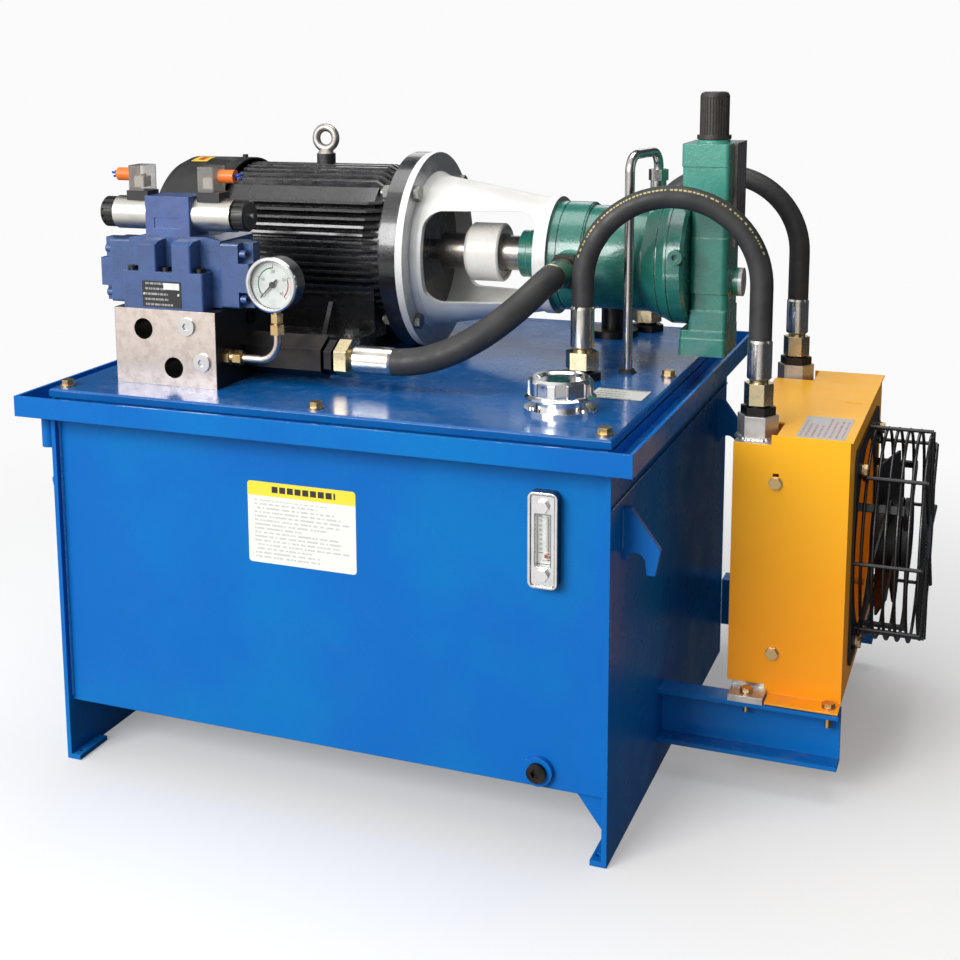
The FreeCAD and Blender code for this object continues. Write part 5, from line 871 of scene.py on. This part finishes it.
def connector_insides():
    """Terminal block and screws seen through each clear plug, and three wires out of each gland."""
    white = moulded("terminal_block", (0.55, 0.52, 0.47), 0.5, 0.05)
    brass = machined("terminal_brass", (0.70, 0.50, 0.22), 0.3, line=0.8).done()
    wire_blue = moulded("wire_blue", (0.01, 0.06, 0.42), 0.4, 0.02)
    pilot_y = -210
    for name, middle_x, out, tip in (("left", -274.5, -1, -308), ("right", -177.5, 1, -144)):
        sheet_piece(f"terminals_{name}", rounded(14, 18, 2), (1, 0, 0), (0, 1, 0),
                    (middle_x, pilot_y, 718), 13, white)
        screws = []
        for shift in (-5, 0, 5):
            screws.append(sheet_piece(f"terminal_screw_{name}_{shift + 5}", arc((0, 0), 1.8, 0, 330, 11),
                                      (1, 0, 0), (0, 1, 0), (middle_x, pilot_y + shift, 731), 2.5, brass))
        joined(f"terminal_screws_{name}", screws)
        wires = []
        for number, (side, rise) in enumerate(((-2.6, 1.5), (0.2, -2.2), (2.5, 1.8))):
            path = [(tip - out * 1, pilot_y + side * 0.6, 733 + rise * 0.5),
                    (tip + out * 3, pilot_y + side, 733 + rise),
                    (tip + out * 8, pilot_y + side * 1.3, 733 + rise * 1.4)]
            wires.append(tube(f"wire_{name}_{number}", path, 1.5, wire_blue, "black_plastic"))
        joined(f"wires_{name}", wires)


def core_fins():
    """Corrugated fins in the cooler core's air passages."""
    core_low = box_mm("cooler_core")[0]
    fin = machined("fin_alloy", (0.50, 0.50, 0.50), 0.35, line=1.2).done()
    left, right = 428.6, 471.4
    shape, faces = [], []
    pitch, half = 3.0, 6.9
    for level in range(150, 400, 26):
        count = 104
        start = len(shape)
        for fold in range(count + 1):
            y = core_low.y + 61 + fold * pitch
            z = level + (half if fold % 2 else -half)
            shape += [(left, y, z), (right, y, z)]
        for fold in range(count):
            corner = start + 2 * fold
            faces.append((corner, corner + 2, corner + 3, corner + 1))
    piece("core_fins", shape, faces, fin)


END_PLATE_Y = 310
CORNER_LOW_Z, CORNER_HIGH_Z = 82, 448
HOOK_Y = 263
HOOK_LOW_Z, HOOK_HIGH_Z = 346, 391
GUTTER_HALF = 318
HEADER_TOP_Z = 420
COOLER_PORTS = ((450, -22), (450, 283))
PORT_BEAD_RADIUS = 24.4


def weld_beads():
    """Fillet welds: tank corners, gutter sides, hooks and the cooler's ports."""
    painted = uneven("bead_paint", TANK_BLUE, 0.24, second=(0.006, 0.15, 0.50), patch=30, grain=[(2.0, 0.06)],
                     edge=0.3, Coat_Weight=0.5, Coat_Roughness=0.1).done()
    bare = uneven("bead_alloy", (0.72, 0.71, 0.69), 0.35, patch=8, grain=[(1.5, 0.1)], edge=0.3,
                  Metallic=0.9).done()
    wall, plate = 350, 6
    gutter = box_mm("drip_gutter")[0].z
    beads = []
    for side in (-1, 1):
        for end in (-1, 1):
            corner = (side * (wall - plate), end * END_PLATE_Y)
            away = (-side, end, 0)
            beads.append(weld_bead(f"bead_corner_{side}_{end}", (*corner, CORNER_LOW_Z),
                                   (*corner, CORNER_HIGH_Z), away, 6, painted,
                                   10 + side + 3 * end))
            hook_y = end * HOOK_Y
            for face in (-4, 4):
                edge = (side * wall, hook_y + face)
                away = (side, math.copysign(1, face), 0)
                beads.append(weld_bead(f"bead_hook_{side}_{end}_{face}", (*edge, HOOK_LOW_Z),
                                       (*edge, HOOK_HIGH_Z), away, 4, painted,
                                       40 + side + 3 * end + face))
    for side in (-1, 1):
        beads.append(weld_bead(f"bead_gutter_side_{side}", (side * wall, -GUTTER_HALF, gutter),
                               (side * wall, GUTTER_HALF, gutter), (side, 0, -1), 5, painted,
                               70 + side))
    joined("weld_beads", beads)
    port_beads = []
    for number, (x, y) in enumerate(COOLER_PORTS):
        middle = Vector((x, y, HEADER_TOP_Z))
        corners = [middle + Vector((px, py, 0)) for px, py in arc((0, 0), PORT_BEAD_RADIUS, 0, 300, 5)]
        for edge in range(6):
            start, stop = corners[edge], corners[(edge + 1) % 6]
            away = ((start + stop) / 2 - middle).normalized() + Vector((0, 0, 1))
            port_beads.append(weld_bead(f"bead_port_{number}_{edge}", start, stop, away, 8, bare,
                                        100 + 10 * number + edge))
    joined("port_beads", port_beads)


labels()
dial()
level_scale()
connector_insides()
core_fins()
weld_beads()


# ---- the studio

BACKGROUND = (0.96, 0.96, 0.96)


def floor():
    """A pale floor that fades into the background with distance, and throws little light back up."""
    bpy.ops.mesh.primitive_plane_add(size=60, location=(0, 0, -0.0005))
    ground = bpy.context.object
    ground.name = "floor"
    ground.visible_glossy = False
    look = Finish("floor_paint")
    pale = look.mix(look.noise(900, 4), (0.88, 0.88, 0.88), (0.86, 0.86, 0.86))
    seen = look.add("ShaderNodeLightPath").outputs["Is Camera Ray"]
    look.set(Base_Color=look.mix(seen, (0.22, 0.22, 0.22), pale), Roughness=0.7, Specular_IOR_Level=0.1)
    distance = look.add("ShaderNodeVectorMath", {0: look.place}, operation="LENGTH").outputs["Value"]
    fade = look.maths("MULTIPLY", look.ramp(distance, 0.55, 1.7, 0.25, 1.0), seen)
    far = look.add("ShaderNodeEmission", {"Color": (*BACKGROUND, 1), "Strength": 1.0}).outputs[0]
    out = look.add("ShaderNodeMixShader", {0: fade, 1: look.surface.outputs[0], 2: far}).outputs[0]
    look.feed(look.tree.nodes["Material Output"].inputs["Surface"], out)
    ground.data.materials.append(look.material)


def area_light(name, place, target, size, power):
    """A rectangular softbox that faces a point."""
    data = bpy.data.lights.new(name, "AREA")
    data.shape = "RECTANGLE"
    data.size, data.size_y = size
    data.energy = power
    light = bpy.data.objects.new(name, data)
    bpy.context.scene.collection.objects.link(light)
    light.location = place
    light.rotation_euler = (Vector(target) - Vector(place)).to_track_quat("-Z", "Y").to_euler()


def surroundings():
    """Pale to the camera. For light and reflections, a room bright in front, on the left and above."""
    world = bpy.data.worlds.new("studio")
    bpy.context.scene.world = world
    world.use_nodes = True
    tree = world.node_tree
    tree.nodes.clear()
    out = tree.nodes.new("ShaderNodeOutputWorld")
    seen = tree.nodes.new("ShaderNodeBackground")
    room = tree.nodes.new("ShaderNodeBackground")
    seen.inputs["Color"].default_value = (*BACKGROUND, 1)
    place = tree.nodes.new("ShaderNodeTexCoord")
    toward = tree.nodes.new("ShaderNodeVectorMath")
    toward.operation = "DOT_PRODUCT"
    toward.inputs[1].default_value = Vector((-0.62, -0.72, 0.32)).normalized()
    ramp = tree.nodes.new("ShaderNodeValToRGB")
    ramp.color_ramp.interpolation = "EASE"
    dark, bright = ramp.color_ramp.elements
    dark.position = 0.05
    dark.color = (0.055, 0.06, 0.07, 1)
    bright.position = 0.80
    bright.color = (1.0, 0.99, 0.97, 1)
    tree.links.new(place.outputs["Generated"], toward.inputs[0])
    tree.links.new(toward.outputs["Value"], ramp.inputs[0])
    tree.links.new(ramp.outputs[0], room.inputs["Color"])
    room.inputs["Strength"].default_value = 1.0
    rays = tree.nodes.new("ShaderNodeLightPath")
    mix = tree.nodes.new("ShaderNodeMixShader")
    tree.links.new(rays.outputs["Is Camera Ray"], mix.inputs[0])
    tree.links.new(room.outputs[0], mix.inputs[1])
    tree.links.new(seen.outputs[0], mix.inputs[2])
    tree.links.new(mix.outputs[0], out.inputs[0])


def camera():
    """The viewing angle from the right of the front, a little above the cover."""
    place = Vector((0.7353, -1.7967, 0.8878))
    forward = Vector((-0.39133, 0.90458, -0.16909)).normalized()
    right = Vector((0.91862, 0.39491, -0.01335)).normalized()
    up = right.cross(forward).normalized()
    data = bpy.data.cameras.new("camera")
    data.sensor_width, data.lens = 36, 56.42
    data.shift_x, data.shift_y = 0.0993, -0.1856
    holder = bpy.data.objects.new("camera", data)
    bpy.context.scene.collection.objects.link(holder)
    turn = Matrix((right, up, -forward)).transposed().to_4x4()
    holder.matrix_world = Matrix.Translation(place) @ turn
    bpy.context.scene.camera = holder


floor()
surroundings()
area_light("key", (-1.3, -3.8, 2.2), (0, -0.1, 0.35), (2.4, 1.8), 165)
area_light("top", (0.0, 0.2, 3.0), (0, 0, 0.4), (2.2, 1.6), 34)
area_light("fill", (3.6, 0.4, 1.4), (0.1, 0, 0.4), (1.2, 1.8), 4)
area_light("back", (-0.6, 3.4, 2.0), (0, 0, 0.4), (2.4, 1.4), 14)
camera()
bpy.context.scene.view_settings.view_transform = "Standard"
